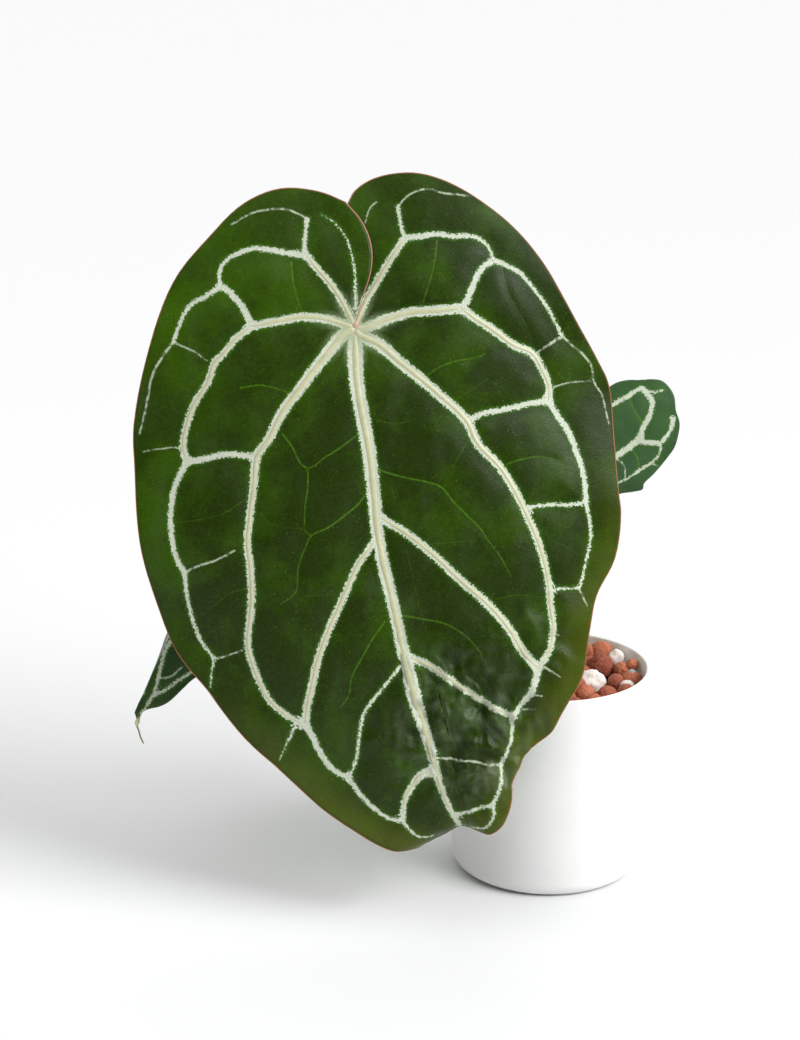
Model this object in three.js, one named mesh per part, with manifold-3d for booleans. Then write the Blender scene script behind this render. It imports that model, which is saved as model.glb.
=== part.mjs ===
// A potted anthurium hybrid: a white pot filled with clay balls and pumice, a short stem,
// three leaf stalks and three heart-shaped blades with a raised net of veins.
// Millimetres, +Z up. The origin is the centre of the pot's underside; the main leaf faces -Y.
import * as THREE from "three";
import { mergeGeometries, mergeVertices } from "three/addons/utils/BufferGeometryUtils.js";
import Module from "manifold-3d";

const wasm = await Module();
wasm.setup();

// Driving dimensions of the pot and what fills it
const POT_HEIGHT = 136;
const RIM_RADIUS = 65;
const FOOT_RADIUS = 61.5;
const FOOT_CORNER = 9;
const POT_WALL = 2.6;
const POT_SIDES = 40;
const BED_BELOW_RIM = 15;
const BALL_RADIUS = 6.6;
const LUMP_SHARE = 0.18;
const BALLS_NEST = 0.72;
const LUMP_FROM_LUMP = 1.3;
const LUMP_FROM_BALL = 0.8;
const STONE_RINGS = [
  { radius: 53.4, count: 23 },
  { radius: 42, count: 18 },
  { radius: 30, count: 13 },
  { radius: 19, count: 8 },
];

// Driving dimensions of the plant
const GAP = 0.3;
const POCKET_GAP = 0.42;
const STEM_RADIUS = 9.5;
const STEM_TOP = 141;
const STEM_FOOT = 96;
const STALK_RADIUS = 2.9;
const STALK_JOINT_RADIUS = 3.9;
const STALK_SIDES = 7;
const HUB_RADIUS = 5;
const HUB_NECK = 6;
const BLADE_THICKNESS = 0.9;
const STRONG_RIB = 1.6;
const RIB_SUNK = 0.35;
const RIB_SIDES = 4;
const RIB_STEP = 26;
const CREASE_SHARE = 0.12;
const EDGE_SHARE = 0.07;
const WAVE_TURN = 7.84;
const LEAF_LEAN = 17.5;

const { degToRad, smoothstep, lerp } = THREE.MathUtils;
const point = (x, y, z) => new THREE.Vector3(x, y, z);

// Materials, each with the colour of the real piece
const finish = (color, roughness) => new THREE.MeshStandardMaterial({ color, roughness, metalness: 0 });
const potWhite = finish(0xf2f1ee, 0.55);
const firedClay = finish(0xa9603f, 0.95);
const pumiceWhite = finish(0xe3ddd2, 0.95);
const chipGrey = finish(0x8fa39b, 0.9);
const bladeGreen = finish(0x2f4d14, 0.5);
const stalkGreen = finish(0x6f8a3c, 0.5);
const stemBrown = finish(0x8c7a4e, 0.8);

// A repeatable draw between 0 and 1, so that the stones lie the same way each time
let drawn = 29;
function draw() {
  drawn = (drawn * 16807) % 2147483647;
  return drawn / 2147483647;
}

// A closed geometry becomes a solid once its shared corners are merged and empty triangles are gone.
function solid(geometry) {
  const bare = geometry.clone();
  bare.deleteAttribute("normal");
  bare.deleteAttribute("uv");
  const merged = mergeVertices(bare, 1e-4);
  const corners = Array.from(merged.index.array);
  const kept = [];
  for (let i = 0; i < corners.length; i += 3) {
    const [a, b, c] = corners.slice(i, i + 3);
    if (a !== b && b !== c && c !== a) {
      kept.push(a, b, c);
    }
  }
  return new wasm.Manifold(new wasm.Mesh({
    numProp: 3,
    vertProperties: new Float32Array(merged.attributes.position.array),
    triVerts: new Uint32Array(kept),
  }));
}

function unite(bodies) {
  return bodies.reduce((whole, body) => whole.add(body));
}

// A named mesh of a solid
function piece(name, body, material) {
  const shape = body.getMesh();
  const geometry = new THREE.BufferGeometry();
  geometry.setAttribute("position", new THREE.BufferAttribute(new Float32Array(shape.vertProperties), 3));
  geometry.setIndex(new THREE.BufferAttribute(new Uint32Array(shape.triVerts), 1));
  geometry.computeVertexNormals();
  const mesh = new THREE.Mesh(geometry, material);
  mesh.name = name;
  return mesh;
}

// Turns a closed profile round +Z. The lathe itself turns round +Y.
function turned(profile, sides) {
  const geometry = new THREE.LatheGeometry(profile.map(([x, y]) => new THREE.Vector2(x, y)), sides);
  geometry.rotateX(Math.PI / 2);
  return solid(geometry);
}

// A round rod along a smooth curve through the given points
function rod(points, radius, sides, steps) {
  const turns = Array.from({ length: sides }, (_, i) => (i / sides) * 2 * Math.PI);
  const section = new THREE.Shape(
    turns.map((turn) => new THREE.Vector2(radius * Math.cos(turn), radius * Math.sin(turn))),
  );
  const path = new THREE.CatmullRomCurve3(points, false, "centripetal");
  return solid(new THREE.ExtrudeGeometry(section, { steps, bevelEnabled: false, extrudePath: path }));
}

// Pot: a thin wall turned round one axis, rounded at the foot and softened at the rim
const potSide = (z) => lerp(FOOT_RADIUS, RIM_RADIUS, z / POT_HEIGHT);

function potBody() {
  const corner = [25, 50, 75].map((turn) => [
    potSide(FOOT_CORNER) - FOOT_CORNER + FOOT_CORNER * Math.sin(degToRad(turn)),
    FOOT_CORNER - FOOT_CORNER * Math.cos(degToRad(turn)),
  ]);
  const floorEdge = FOOT_RADIUS - FOOT_CORNER;
  return turned([
    [0, 0],
    [floorEdge, 0],
    ...corner,
    [potSide(FOOT_CORNER), FOOT_CORNER],
    [potSide(POT_HEIGHT - 1), POT_HEIGHT - 1],
    [RIM_RADIUS - POT_WALL / 3, POT_HEIGHT],
    [RIM_RADIUS - (2 * POT_WALL) / 3, POT_HEIGHT],
    [RIM_RADIUS - POT_WALL, POT_HEIGHT - 1],
    [potSide(FOOT_CORNER) - POT_WALL, FOOT_CORNER + POT_WALL],
    [floorEdge + 3, POT_WALL + 2],
    [floorEdge - 1, POT_WALL],
    [0, POT_WALL],
  ], POT_SIDES);
}

// Bed: fired clay balls heaped over the filling, which they grow into, with pockets for the pumice
const bedTop = POT_HEIGHT - BED_BELOW_RIM;
const bedSide = (z) => potSide(z) - POT_WALL - 2 * GAP;

// Stones that show in the gap between the leaf and the rim, each with its own place
const shownStones = [
  { at: point(36.6, 41, bedTop + 8), radius: 6.3 },
  { at: point(35.5, 23.6, bedTop + 5), radius: 6.9 },
  { at: point(29.5, 41, bedTop + 7), radius: 5.6 },
  { at: point(49.3, 17.5, bedTop + 4), radius: 5.4 },
  { at: point(55, 17, bedTop + 8), radius: 3.9 },
  { at: point(43.3, 1.5, bedTop + 3), radius: 4.6 },
  { at: point(27, -1.5, bedTop + 3), radius: 8.4, pumice: true },
  { at: point(46.5, 31.8, bedTop + 7), radius: 5.2, pumice: true },
  { at: point(50.5, -4, bedTop + 1.5), radius: 4.4, pumice: true },
];
const chip = { at: point(54.4, 6.2, bedTop + 6.2), radius: 2.7, spin: 0.4, lean: 0.9 };

// The rest lie in rings from the rim inwards, wherever no earlier stone is too close.
const stones = shownStones.map((stone) => ({ ...stone, spin: 6 * draw(), lean: 6 * draw() }));
for (const { radius: ring, count } of STONE_RINGS) {
  for (let i = 0; i < count; i += 1) {
    const turn = ((i + 0.5 + 0.3 * (draw() - 0.5)) / count) * 2 * Math.PI;
    const reach = ring + 1.6 * (draw() - 0.5);
    const at = point(reach * Math.cos(turn), reach * Math.sin(turn), bedTop + 1 + 3 * draw());
    const radius = BALL_RADIUS * (0.86 + 0.16 * draw());
    const apart = (other) => other.at.distanceTo(at) / (other.radius + radius);
    const isClear = (other) => apart(other) > (other.pumice ? LUMP_FROM_LUMP : LUMP_FROM_BALL);
    const pumice = draw() < LUMP_SHARE && stones.every(isClear);
    if (stones.every((other) => apart(other) > BALLS_NEST)) {
      stones.push({ at, radius, spin: 6 * draw(), lean: 6 * draw(), pumice });
    }
  }
}
const balls = stones.filter((stone) => !stone.pumice);
const lumps = stones.filter((stone) => stone.pumice);

function stoneBody({ at, radius, spin, lean }, shape, grow) {
  const size = radius + grow;
  shape.scale(size, size, 0.92 * size);
  shape.rotateX(lean);
  shape.rotateZ(spin);
  shape.translate(at.x, at.y, at.z);
  return solid(shape);
}

const ballBody = (stone) => stoneBody(stone, new THREE.IcosahedronGeometry(1.04, 0), 0);
const lumpBody = (stone, grow) => stoneBody(stone, new THREE.IcosahedronGeometry(1, 0), grow);
const hollowFor = (stone) => lumpBody(stone, POCKET_GAP);

// Stem: a short upright stock with dry sheaths at its foot and a plain hole for each stalk
const STALK_FEET = { main: [-2.7, -4.6], left: [-4.6, 2.7], right: [4.6, 2.7] };
const SHEATHS = [
  { turn: 285, height: 30 },
  { turn: 15, height: 24 },
  { turn: 100, height: 33 },
];

function stemBlank(grow) {
  return turned([
    [0, STEM_FOOT - grow],
    [STEM_RADIUS + grow, STEM_FOOT - grow],
    [STEM_RADIUS + grow, bedTop + 6],
    [STEM_RADIUS - 1.2 + grow, STEM_TOP - 4],
    [STEM_RADIUS - 3.5 + grow, STEM_TOP + grow],
    [0, STEM_TOP + grow],
  ], 16);
}

function sheathBody({ turn, height }) {
  const leaf = new THREE.ConeGeometry(6.5, height, 7);
  leaf.rotateX(Math.PI / 2);
  leaf.scale(0.42, 1, 1);
  leaf.rotateY(degToRad(9));
  leaf.translate(STEM_RADIUS - 0.4, 0, bedTop + 7 + height / 2);
  leaf.rotateZ(degToRad(turn));
  return solid(leaf);
}

// Leaves. A blade is drawn flat, with its hub at 0,0, a to the right and b towards the sinus, and
// then seated in space by one formula. Each has its margin, clockwise from the right lobe's inner
// corner to the left lobe's, the two inner edges from the hub out, and the routes of its ribs.
const mainLeaf = {
  name: "main",
  hub: point(-123, -32.3, 365),
  turn: 0,
  stalk: [[-3.5, -5.5, 138], [-20, -9, 180], [-55, -8, 240], [-92, 0, 305], [-117, 3, 347]],
  margin: [
    [-4.5, 76], [-0.5, 83.5], [11.5, 91.5], [35, 94.5], [55.5, 89], [77, 76.5], [95, 62], [111.5, 43],
    [124, 22.5], [136, 1], [146.5, -17.5], [154, -33], [157, -66.5], [159.5, -98], [161, -111.5],
    [157.5, -139], [146, -162], [141.5, -184.5], [137, -211.5], [127, -229], [118, -245.5],
    [106.5, -254], [99, -266.5], [95, -276], [94.5, -286.5], [89.5, -301], [82, -307], [75.5, -307],
    [71.5, -308], [74, -319], [77, -335], [81, -359], [66, -343], [54, -329], [38, -320], [23.5, -318],
    [14.5, -314.5], [3.5, -308], [-18.5, -293], [-42, -271.5], [-67, -248.5], [-90, -219.5],
    [-109, -195.5], [-120.5, -167], [-130.5, -130.5], [-134, -85.5], [-134.5, -58], [-124, -9.5],
    [-110, 28], [-88.5, 55], [-66.5, 76], [-45, 84.5], [-21.5, 82.5], [-6, 76],
  ],
  innerRight: [[0, 0], [1.5, 8], [1, 20], [-2, 40], [-4, 60], [-4.5, 76]],
  innerLeft: [[0, 0], [1.2, 6], [4, 16.5], [9, 32.5], [10, 43.5], [8.5, 53.5], [3.5, 64.5], [-6, 76]],
  halfWidth: 146,
  midribBend: [0.07, 0.00047],
  arch: 20,
  channel: 4,
  droop: { from: 120, over: 190, by: 22 },
  lobesBack: 10,
  lobesApart: 4,
  wave: 2.2,
  fold: null,
  swells: [{ at: [112, -255], reach: 20, by: -9 }, { at: [84, -300], reach: 22, by: 7 }],
  curl: { at: [43.9, -300.5], turn: 29, radius: 12, most: 100, fullTo: 15, noneFrom: 30 },
  ribs: [
    {
      radius: 1.8,
      route: [[0, 0], [1, -31], [9, -78], [14, -120], [26, -182], [40, -237], [58, -292], [67, -309]],
    },
    { radius: 1.1, route: [[0, 0], [-12, 23], [-29.5, 44], [-30, 66]] },
    { radius: 1, route: [[-29.5, 44], [-52, 48], [-77.5, 41], [-81, 25.5]] },
    { radius: 1.3, route: [[0, 0], [-32, 6.5], [-62, 1], [-78, 24], [-99, 14], [-110, -8]] },
    { radius: 1.3, route: [[-62, 1], [-85, -21], [-104, -65], [-102, -80.5]] },
    { radius: 1, route: [[-104, -81.5], [-78, -76], [-59, -77]] },
    { radius: 1.1, route: [[-100.5, -76], [-112, -111], [-103.5, -148], [-99, -178], [-86, -200]] },
    { radius: 1.5, route: [[0, 0], [-33, -37], [-59, -77], [-65, -129], [-63, -185], [-50, -227], [-31, -240]] },
    { radius: 1.3, route: [[12, -126], [-15, -180], [-29, -228], [-31, -240], [-13, -267], [-4, -273]] },
    { radius: 1, route: [[-4, -273], [12, -292], [28.5, -299]] },
    { radius: 1, route: [[26, -204], [5, -232], [-4, -273]] },
    { radius: 1.3, route: [[45, -268], [35, -276], [28.5, -299]] },
    { radius: 1.2, route: [[0, 0], [14, 29.5], [30, 54.5], [59, 56], [77, 53], [83.5, 41.5]] },
    { radius: 1.4, route: [[0, 0], [20, 5.5], [64, 12], [83.5, 41.5], [106, 26], [125.5, -4]] },
    { radius: 1.3, route: [[64, 12], [107, -15], [117, -43.5], [135, -75], [140, -105], [135.5, -157]] },
    { radius: 1, route: [[117, -43.5], [92, -48], [69, -56]] },
    { radius: 1.5, route: [[0, 0], [14, -9.5], [67, -55.5], [98, -102], [119, -175], [110.5, -205.5]] },
    { radius: 1.3, route: [[15, -113], [62, -151], [110.5, -205.5], [95, -234], [89, -265], [83.5, -289]] },
    { radius: 1.1, route: [[32, -197], [72, -221], [95, -234]] },
    { radius: 0.9, route: [[49, -259], [71, -262], [89, -265]] },
  ],
};

const leftLeaf = {
  name: "rear_left",
  hub: point(-190, 18.4, 259.7),
  turn: 25,
  stalk: [
    [-7, 3.5, 138], [-30, 8, 178], [-70, 15, 215], [-105, 32, 238], [-140, 46, 255], [-172, 52, 264],
    [-187, 44, 262],
  ],
  margin: [
    [2, 42], [8, 50], [20, 56], [36, 54], [52, 44], [66, 24], [74, 0], [76, -26], [72, -54], [62, -82],
    [47, -106], [33, -122], [22, -135], [18, -144.5], [13.5, -155.5], [9, -161], [4.5, -164.5],
    [1.5, -168], [0.9, -173], [0, -176], [-1.5, -173], [-9, -168], [-17, -163], [-19, -156],
    [-22, -146], [-30, -132], [-41, -114], [-57, -86], [-68, -56], [-73, -28], [-71, -2], [-64, 22],
    [-51, 41], [-35, 51], [-20, 53], [-9, 48], [-4, 42],
  ],
  innerRight: [[0, 0], [0.8, 6], [1.6, 20], [2, 42]],
  innerLeft: [[0, 0], [-0.8, 6], [-3, 20], [-4, 42]],
  halfWidth: 76,
  midribBend: [0, 0],
  arch: 9,
  channel: 2,
  droop: { from: 40, over: 120, by: 6 },
  lobesBack: 6,
  lobesApart: 0,
  wave: 1.6,
  fold: { atHub: 35, from: 0, to: 105, by: 79 },
  swells: [],
  ribs: [
    { radius: 1.5, route: [[0, 0], [0, -60], [-1, -120], [2, -150], [2, -162], [0.5, -172]] },
    { radius: 1, route: [[0, 0], [10, 22], [32, 36], [54, 20], [58, -10]] },
    { radius: 1.1, route: [[0, 0], [30, 2], [58, -10], [60, -48], [50, -82], [18.5, -132], [3.5, -155.5]] },
    { radius: 1, route: [[0, -4], [28, -36], [50, -82]] },
    { radius: 1.1, route: [[0, 0], [-30, 0], [-56, -12], [-57, -48], [-46, -82], [-20, -130], [-4, -157]] },
  ],
  thread: { radius: 0.8, route: [[0.5, -171], [1, -177], [4, -180.5], [6.5, -183.5], [10, -186.5]] },
};

const rightLeaf = {
  name: "rear_right",
  hub: point(16.2, 64.2, 272),
  turn: 55,
  stalk: [[5, 6, 138], [12, 28, 175], [22, 56, 212], [28, 80, 240], [24, 92, 260]],
  margin: [
    [-3, 57], [0, 62.5], [5, 68], [10.5, 69.5], [17.5, 69], [26, 64.5], [34, 62], [39.5, 57.5],
    [45.5, 50], [48.5, 42], [52, 29.5], [53.5, 20.5], [56, 17.5], [54, 12], [49.5, 2], [50, -12],
    [48, -32], [43, -54], [34, -76], [23, -95], [12, -111], [5, -123], [1.5, -133], [0, -141],
    [-1.5, -133], [-5, -123], [-13, -110], [-25, -94], [-37, -74], [-46, -52], [-52, -30],
    [-54, -8], [-51, 6], [-45, 17], [-36, 25], [-25, 30], [-15, 33], [-8, 33],
  ],
  innerRight: [[0, 0], [0.5, 8], [-1, 14], [-6, 22], [-10.5, 32], [-11, 42], [-8, 50], [-3, 57]],
  innerLeft: [[0, 0], [-0.8, 6], [-4, 20], [-8, 33]],
  halfWidth: 54,
  midribBend: [0, 0],
  arch: 7,
  channel: 2,
  droop: { from: 40, over: 100, by: 8 },
  lobesBack: 5,
  lobesApart: 0,
  wave: 1.4,
  fold: { atHub: 48, from: 0, to: 60, by: 62 },
  swells: [{ at: [52, 4], reach: 12, by: -5 }],
  ribs: [
    { radius: 1.5, route: [[0, 0], [0, -60], [0, -110], [0, -134]] },
    { radius: 1, route: [[0, 0], [-0.5, 32], [4.5, 55.5], [19.5, 47.5], [28, 33]] },
    { radius: 1.2, route: [[0, 0], [16, 4], [28, 14], [28.5, 24.5], [28, 33], [37.5, 44.5], [29.5, 59.5]] },
    { radius: 1, route: [[37.5, 44.5], [45, 32], [44, 12], [38, -14], [36, -44], [22, -80], [3, -116]] },
    { radius: 1, route: [[0, 0], [22, -14], [36, -44]] },
    { radius: 1, route: [[0, 0], [-14, 18], [-34, 14], [-42, -8], [-38, -44], [-24, -80], [-3, -116]] },
  ],
};

const leaves = [mainLeaf, leftLeaf, rightLeaf];

// Bends the last stretch of the blade back round a cylinder that lies across its tip.
function curled(curl, a, b, c) {
  const along = degToRad(curl.turn);
  const [fromA, fromB] = [a - curl.at[0], b - curl.at[1]];
  const across = fromA * Math.cos(along) + fromB * Math.sin(along);
  const past = fromA * Math.sin(along) - fromB * Math.cos(along);
  if (past <= 0) {
    return point(a, b, c);
  }
  const tightness = 1 - 0.97 * smoothstep(across, curl.fullTo, curl.noneFrom);
  const radius = curl.radius / tightness;
  const angle = Math.min(past / radius, degToRad(curl.most));
  const rest = past - angle * radius;
  const reach = radius * Math.sin(angle) + rest * Math.cos(angle);
  const sink = radius * (1 - Math.cos(angle)) + rest * Math.sin(angle);
  return point(
    curl.at[0] + across * Math.cos(along) + reach * Math.sin(along),
    curl.at[1] + across * Math.sin(along) - reach * Math.cos(along),
    c - sink,
  );
}

// Seats a flat point of a blade in space, in the leaf's own frame: c is towards the viewer.
function seat(leaf, a, b, onLeft) {
  const down = Math.max(0, -b);
  const off = a - leaf.midribBend[0] * down - leaf.midribBend[1] * down * down;
  const out = off / leaf.halfWidth;
  const { droop } = leaf;
  let c = leaf.channel * (1 - Math.exp(-((off / (0.3 * leaf.halfWidth)) ** 2))) - leaf.arch * out * out;
  c -= droop.by * (Math.max(0, down - droop.from) / droop.over) ** 2;
  c -= leaf.lobesBack * Math.max(0, (b - 10) / 85) ** 2;
  c += leaf.wave * out * out * Math.sin((WAVE_TURN * b) / leaf.halfWidth + (onLeft ? 2.2 : 0.8));
  c += (onLeft ? 1 : -1) * leaf.lobesApart * smoothstep(b, 2, 32) * Math.exp(-((a / 22) ** 2));
  for (const swell of leaf.swells) {
    const far = Math.hypot(a - swell.at[0], b - swell.at[1]) / swell.reach;
    c += swell.by * Math.exp(-far * far);
  }
  let side = a;
  if (onLeft && leaf.fold) {
    const { atHub, from, to, by } = leaf.fold;
    const full = lerp(atHub, by, smoothstep(down, from, to));
    const angle = degToRad(full) * smoothstep(-off, 0, CREASE_SHARE * leaf.halfWidth);
    side = a - off + off * Math.cos(angle);
    c = c * Math.cos(angle) + off * Math.sin(angle);
  }
  return leaf.curl ? curled(leaf.curl, side, b, c) : point(side, b, c);
}

// The same point moved half the blade's thickness along the blade's own normal
function face(leaf, a, b, onLeft, offset) {
  const step = 0.5;
  const alongA = seat(leaf, a + step, b, onLeft).sub(seat(leaf, a - step, b, onLeft));
  const alongB = seat(leaf, a, b + step, onLeft).sub(seat(leaf, a, b - step, onLeft));
  const normal = alongA.cross(alongB).normalize();
  return seat(leaf, a, b, onLeft).addScaledVector(normal, offset);
}

function flatCurve(route) {
  return new THREE.CatmullRomCurve3(route.map(([a, b]) => point(a, b, 0)), false, "centripetal");
}

// Flat place of the spoke u, from 0 at the right inner edge clockwise to 1 at the left one, at the
// share v of the way from the hub to the margin. The first and last spokes follow the inner edges.
function spokes(leaf) {
  const margin = flatCurve(leaf.margin);
  const innerRight = flatCurve(leaf.innerRight);
  const innerLeft = flatCurve(leaf.innerLeft);
  return (u, v) => {
    const end = margin.getPoint(u);
    const flat = end.clone().multiplyScalar(v);
    const nearRight = Math.max(0, 1 - u / EDGE_SHARE) ** 2;
    const nearLeft = Math.max(0, 1 - (1 - u) / EDGE_SHARE) ** 2;
    const pull = (edge, weight) => {
      const target = edge.getPointAt(v).sub(edge.getPointAt(1).multiplyScalar(v));
      flat.addScaledVector(target, weight);
    };
    pull(innerRight, nearRight);
    pull(innerLeft, nearLeft);
    return flat;
  };
}

// A grid of the unit square with each corner placed by a function of u and v
function draped(columns, rows, place) {
  const grid = new THREE.PlaneGeometry(1, 1, columns, rows);
  const corners = grid.attributes.position;
  for (let i = 0; i < corners.count; i += 1) {
    const u = Math.round((corners.getX(i) + 0.5) * columns) / columns;
    const v = Math.round((corners.getY(i) + 0.5) * rows) / rows;
    const spot = place(u, v);
    corners.setXYZ(i, spot.x, spot.y, spot.z);
  }
  return grid;
}

function flipped(grid) {
  grid.index.array.reverse();
  return grid;
}

// The blade's sheet: two faces with the same triangles, joined by a narrow wall all round
function sheetBody(leaf, rows) {
  const columns = leaf.margin.length - 1;
  const flat = spokes(leaf);
  const at = (u, v, offset) => {
    const { x, y } = flat(u, v);
    const onLeft = y > 0 ? u > 0.5 : x < leaf.midribBend[0] * -y + leaf.midribBend[1] * y * y;
    return face(leaf, x, y, onLeft, offset);
  };
  const half = BLADE_THICKNESS / 2;
  const turns = columns + 2 * rows;
  const edge = (step) => {
    if (step <= rows) {
      return [0, (rows - step) / rows];
    }
    return step <= 2 * rows ? [1, (step - rows) / rows] : [(turns - step) / columns, 1];
  };
  return solid(mergeGeometries([
    draped(columns, rows, (u, v) => at(u, v, half)),
    flipped(draped(columns, rows, (u, v) => at(u, v, -half))),
    draped(turns, 1, (along, up) => {
      const [u, v] = edge(Math.round(along * turns));
      return at(u, v, (up - 0.5) * 2 * half);
    }),
  ]));
}

// A rib stands on the front face only; a strong one shows on both faces.
function ribBody(leaf, { radius, route }) {
  const flat = flatCurve(route);
  const onLeft = route[route.length - 1][0] < -2;
  const steps = Math.max(3, Math.round(flat.getLength() / RIB_STEP));
  const raised = radius < STRONG_RIB ? radius - RIB_SUNK : 0;
  const places = Array.from({ length: steps + 1 }, (_, i) => {
    const { x, y } = flat.getPointAt(i / steps);
    return face(leaf, x, y, onLeft, raised);
  });
  return rod(places, radius, RIB_SIDES, steps);
}

// The dried thread at a blade's tip, with the small swelling that ends it
function threadBody(leaf) {
  const { radius, route } = leaf.thread;
  const places = route.map(([a, b]) => seat(leaf, a, b, false));
  const swelling = new THREE.IcosahedronGeometry(1.8 * radius, 0);
  swelling.translate(...places[places.length - 1].toArray());
  return rod(places, radius, 5, 8).add(solid(swelling));
}

// The hub: a flat boss where the main veins meet, and behind it the neck that the stalk joins
function hubBody() {
  const boss = new THREE.SphereGeometry(HUB_RADIUS, 10, 6);
  boss.scale(1, 1.1, 0.32);
  const neck = new THREE.CylinderGeometry(STALK_JOINT_RADIUS, STALK_JOINT_RADIUS, HUB_NECK, 10);
  neck.rotateX(Math.PI / 2);
  neck.translate(0, 0, -HUB_NECK / 2);
  return solid(boss).add(solid(neck));
}

function bladePiece(leaf, rows) {
  const raised = leaf.ribs.map((rib) => ribBody(leaf, rib));
  if (leaf.thread) {
    raised.push(threadBody(leaf));
  }
  const body = unite([sheetBody(leaf, rows), hubBody(), ...raised]);
  const blade = piece(`${leaf.name}_leaf_blade`, body, bladeGreen);
  blade.position.copy(leaf.hub);
  blade.rotation.set(degToRad(90 - LEAF_LEAN), 0, -degToRad(leaf.turn));
  return blade;
}

// Stalks: each stands in its hole in the stem and meets its blade's neck from behind, a gap away
const behind = point(0, Math.cos(degToRad(LEAF_LEAN)), -Math.sin(degToRad(LEAF_LEAN)));
const stalkHoleFoot = STEM_TOP - 16;

function stalkBody(leaf, foot, grow) {
  const behindHub = (far) => leaf.hub.clone().addScaledVector(behind, HUB_NECK + far);
  const way = leaf.stalk.map(([x, y, z]) => point(x, y, z));
  const arrival = [behindHub(11), behindHub(4), behindHub(GAP)];
  const start = point(foot[0], foot[1], stalkHoleFoot - grow);
  const shaft = rod([start, ...way, ...arrival], STALK_RADIUS + grow, STALK_SIDES, 18);
  const jointStart = way[way.length - 1].clone().lerp(arrival[0], 0.35);
  const joint = rod([jointStart, ...arrival], STALK_JOINT_RADIUS, STALK_SIDES, 5);
  return grow > 0 ? shaft : shaft.add(joint);
}

const feet = [STALK_FEET.main, STALK_FEET.left, STALK_FEET.right];

function stemBody() {
  const whole = unite([stemBlank(0), ...SHEATHS.map(sheathBody)]);
  return leaves.reduce((body, leaf, i) => body.subtract(stalkBody(leaf, feet[i], GAP)), whole);
}

function bedBody() {
  const filling = turned([
    [0, POT_WALL + GAP],
    [FOOT_RADIUS - FOOT_CORNER - 1.5, POT_WALL + GAP],
    [FOOT_RADIUS - FOOT_CORNER + 1.5, POT_WALL + 2.5],
    [bedSide(FOOT_CORNER), FOOT_CORNER + POT_WALL + 0.4],
    [bedSide(bedTop), bedTop + 2.5],
    [0, bedTop + 4],
  ], POT_SIDES);
  const hollows = [...lumps.map(hollowFor), hollowFor(chip), stemBlank(GAP)];
  return hollows.reduce((body, hollow) => body.subtract(hollow), unite([filling, ...balls.map(ballBody)]));
}

const anthurium = new THREE.Group();
anthurium.add(piece("pot", potBody(), potWhite));
anthurium.add(piece("clay_bed", bedBody(), firedClay));
lumps.forEach((lump, i) => {
  anthurium.add(piece(`pumice_${i + 1}`, lumpBody(lump, 0), pumiceWhite));
});
anthurium.add(piece("mineral_chip", lumpBody(chip, 0), chipGrey));
anthurium.add(piece("stem", stemBody(), stemBrown));
leaves.forEach((leaf, i) => {
  anthurium.add(piece(`${leaf.name}_stalk`, stalkBody(leaf, feet[i], 0), stalkGreen));
});
anthurium.add(bladePiece(mainLeaf, 7));
anthurium.add(bladePiece(leftLeaf, 4));
anthurium.add(bladePiece(rightLeaf, 4));

export default anthurium;
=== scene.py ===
import math

import bmesh
import bpy
from mathutils import Matrix, Vector, kdtree, noise


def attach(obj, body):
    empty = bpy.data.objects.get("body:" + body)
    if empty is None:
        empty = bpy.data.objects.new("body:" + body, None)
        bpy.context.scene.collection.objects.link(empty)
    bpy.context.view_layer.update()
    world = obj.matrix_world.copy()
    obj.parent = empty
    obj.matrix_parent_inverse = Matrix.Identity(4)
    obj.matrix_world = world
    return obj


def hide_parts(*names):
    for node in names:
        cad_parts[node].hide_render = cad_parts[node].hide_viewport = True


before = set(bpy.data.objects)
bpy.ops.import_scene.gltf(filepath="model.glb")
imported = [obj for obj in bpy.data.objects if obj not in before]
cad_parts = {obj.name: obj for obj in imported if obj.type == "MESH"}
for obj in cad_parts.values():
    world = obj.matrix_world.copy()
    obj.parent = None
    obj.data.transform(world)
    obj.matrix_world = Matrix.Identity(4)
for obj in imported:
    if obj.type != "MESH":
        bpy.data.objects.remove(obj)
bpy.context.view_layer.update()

# Pot
# A thin-walled planter cast in white stoneware, matt outside and in, with a rounded foot
# and a softened rim. It is turned as one profile round its axis.
MM = 0.001
POT_HEIGHT = 136
RIM_RADIUS = 65
FOOT_RADIUS = 61.5
FOOT_CORNER = 9
POT_WALL = 2.6
RIM_ROUND = POT_WALL / 2


def srgb(text):
    """The linear colour of an sRGB hex value."""
    shares = [int(text[i:i + 2], 16) / 255 for i in (1, 3, 5)]
    linear = [s / 12.92 if s <= 0.04045 else ((s + 0.055) / 1.055) ** 2.4 for s in shares]
    return (*linear, 1.0)


def set_inputs(made, inputs):
    """Links each input that is given a socket, and sets each that is given a value."""
    for name, value in inputs.items():
        if isinstance(value, bpy.types.NodeSocket):
            made.id_data.links.new(value, made.inputs[name])
        else:
            made.inputs[name].default_value = value


def add_node(material, kind, inputs, output=0, **settings):
    """Adds a node with its settings and inputs, and gives the output it is wanted for."""
    made = material.node_tree.nodes.new("ShaderNode" + kind)
    for name, value in settings.items():
        setattr(made, name, value)
    set_inputs(made, inputs)
    return made.outputs[output]


def new_material(name):
    material = bpy.data.materials.new(name)
    material.use_nodes = True
    return material, material.node_tree.nodes["Principled BSDF"]


def finished(name, mesh_maker, materials, node_names):
    """Makes the piece's object from its bmesh, in metres, hangs it on the root body and hides the solids
    it stands for.
    """
    for vert in mesh_maker.verts:
        vert.co *= MM
    mesh = bpy.data.meshes.new(name)
    mesh_maker.to_mesh(mesh)
    mesh_maker.free()
    for material in materials:
        mesh.materials.append(material)
    mesh.shade_smooth()
    piece = bpy.data.objects.new(name, mesh)
    bpy.context.scene.collection.objects.link(piece)
    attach(piece, "root")
    if node_names:
        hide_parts(*node_names)
    return piece


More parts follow.
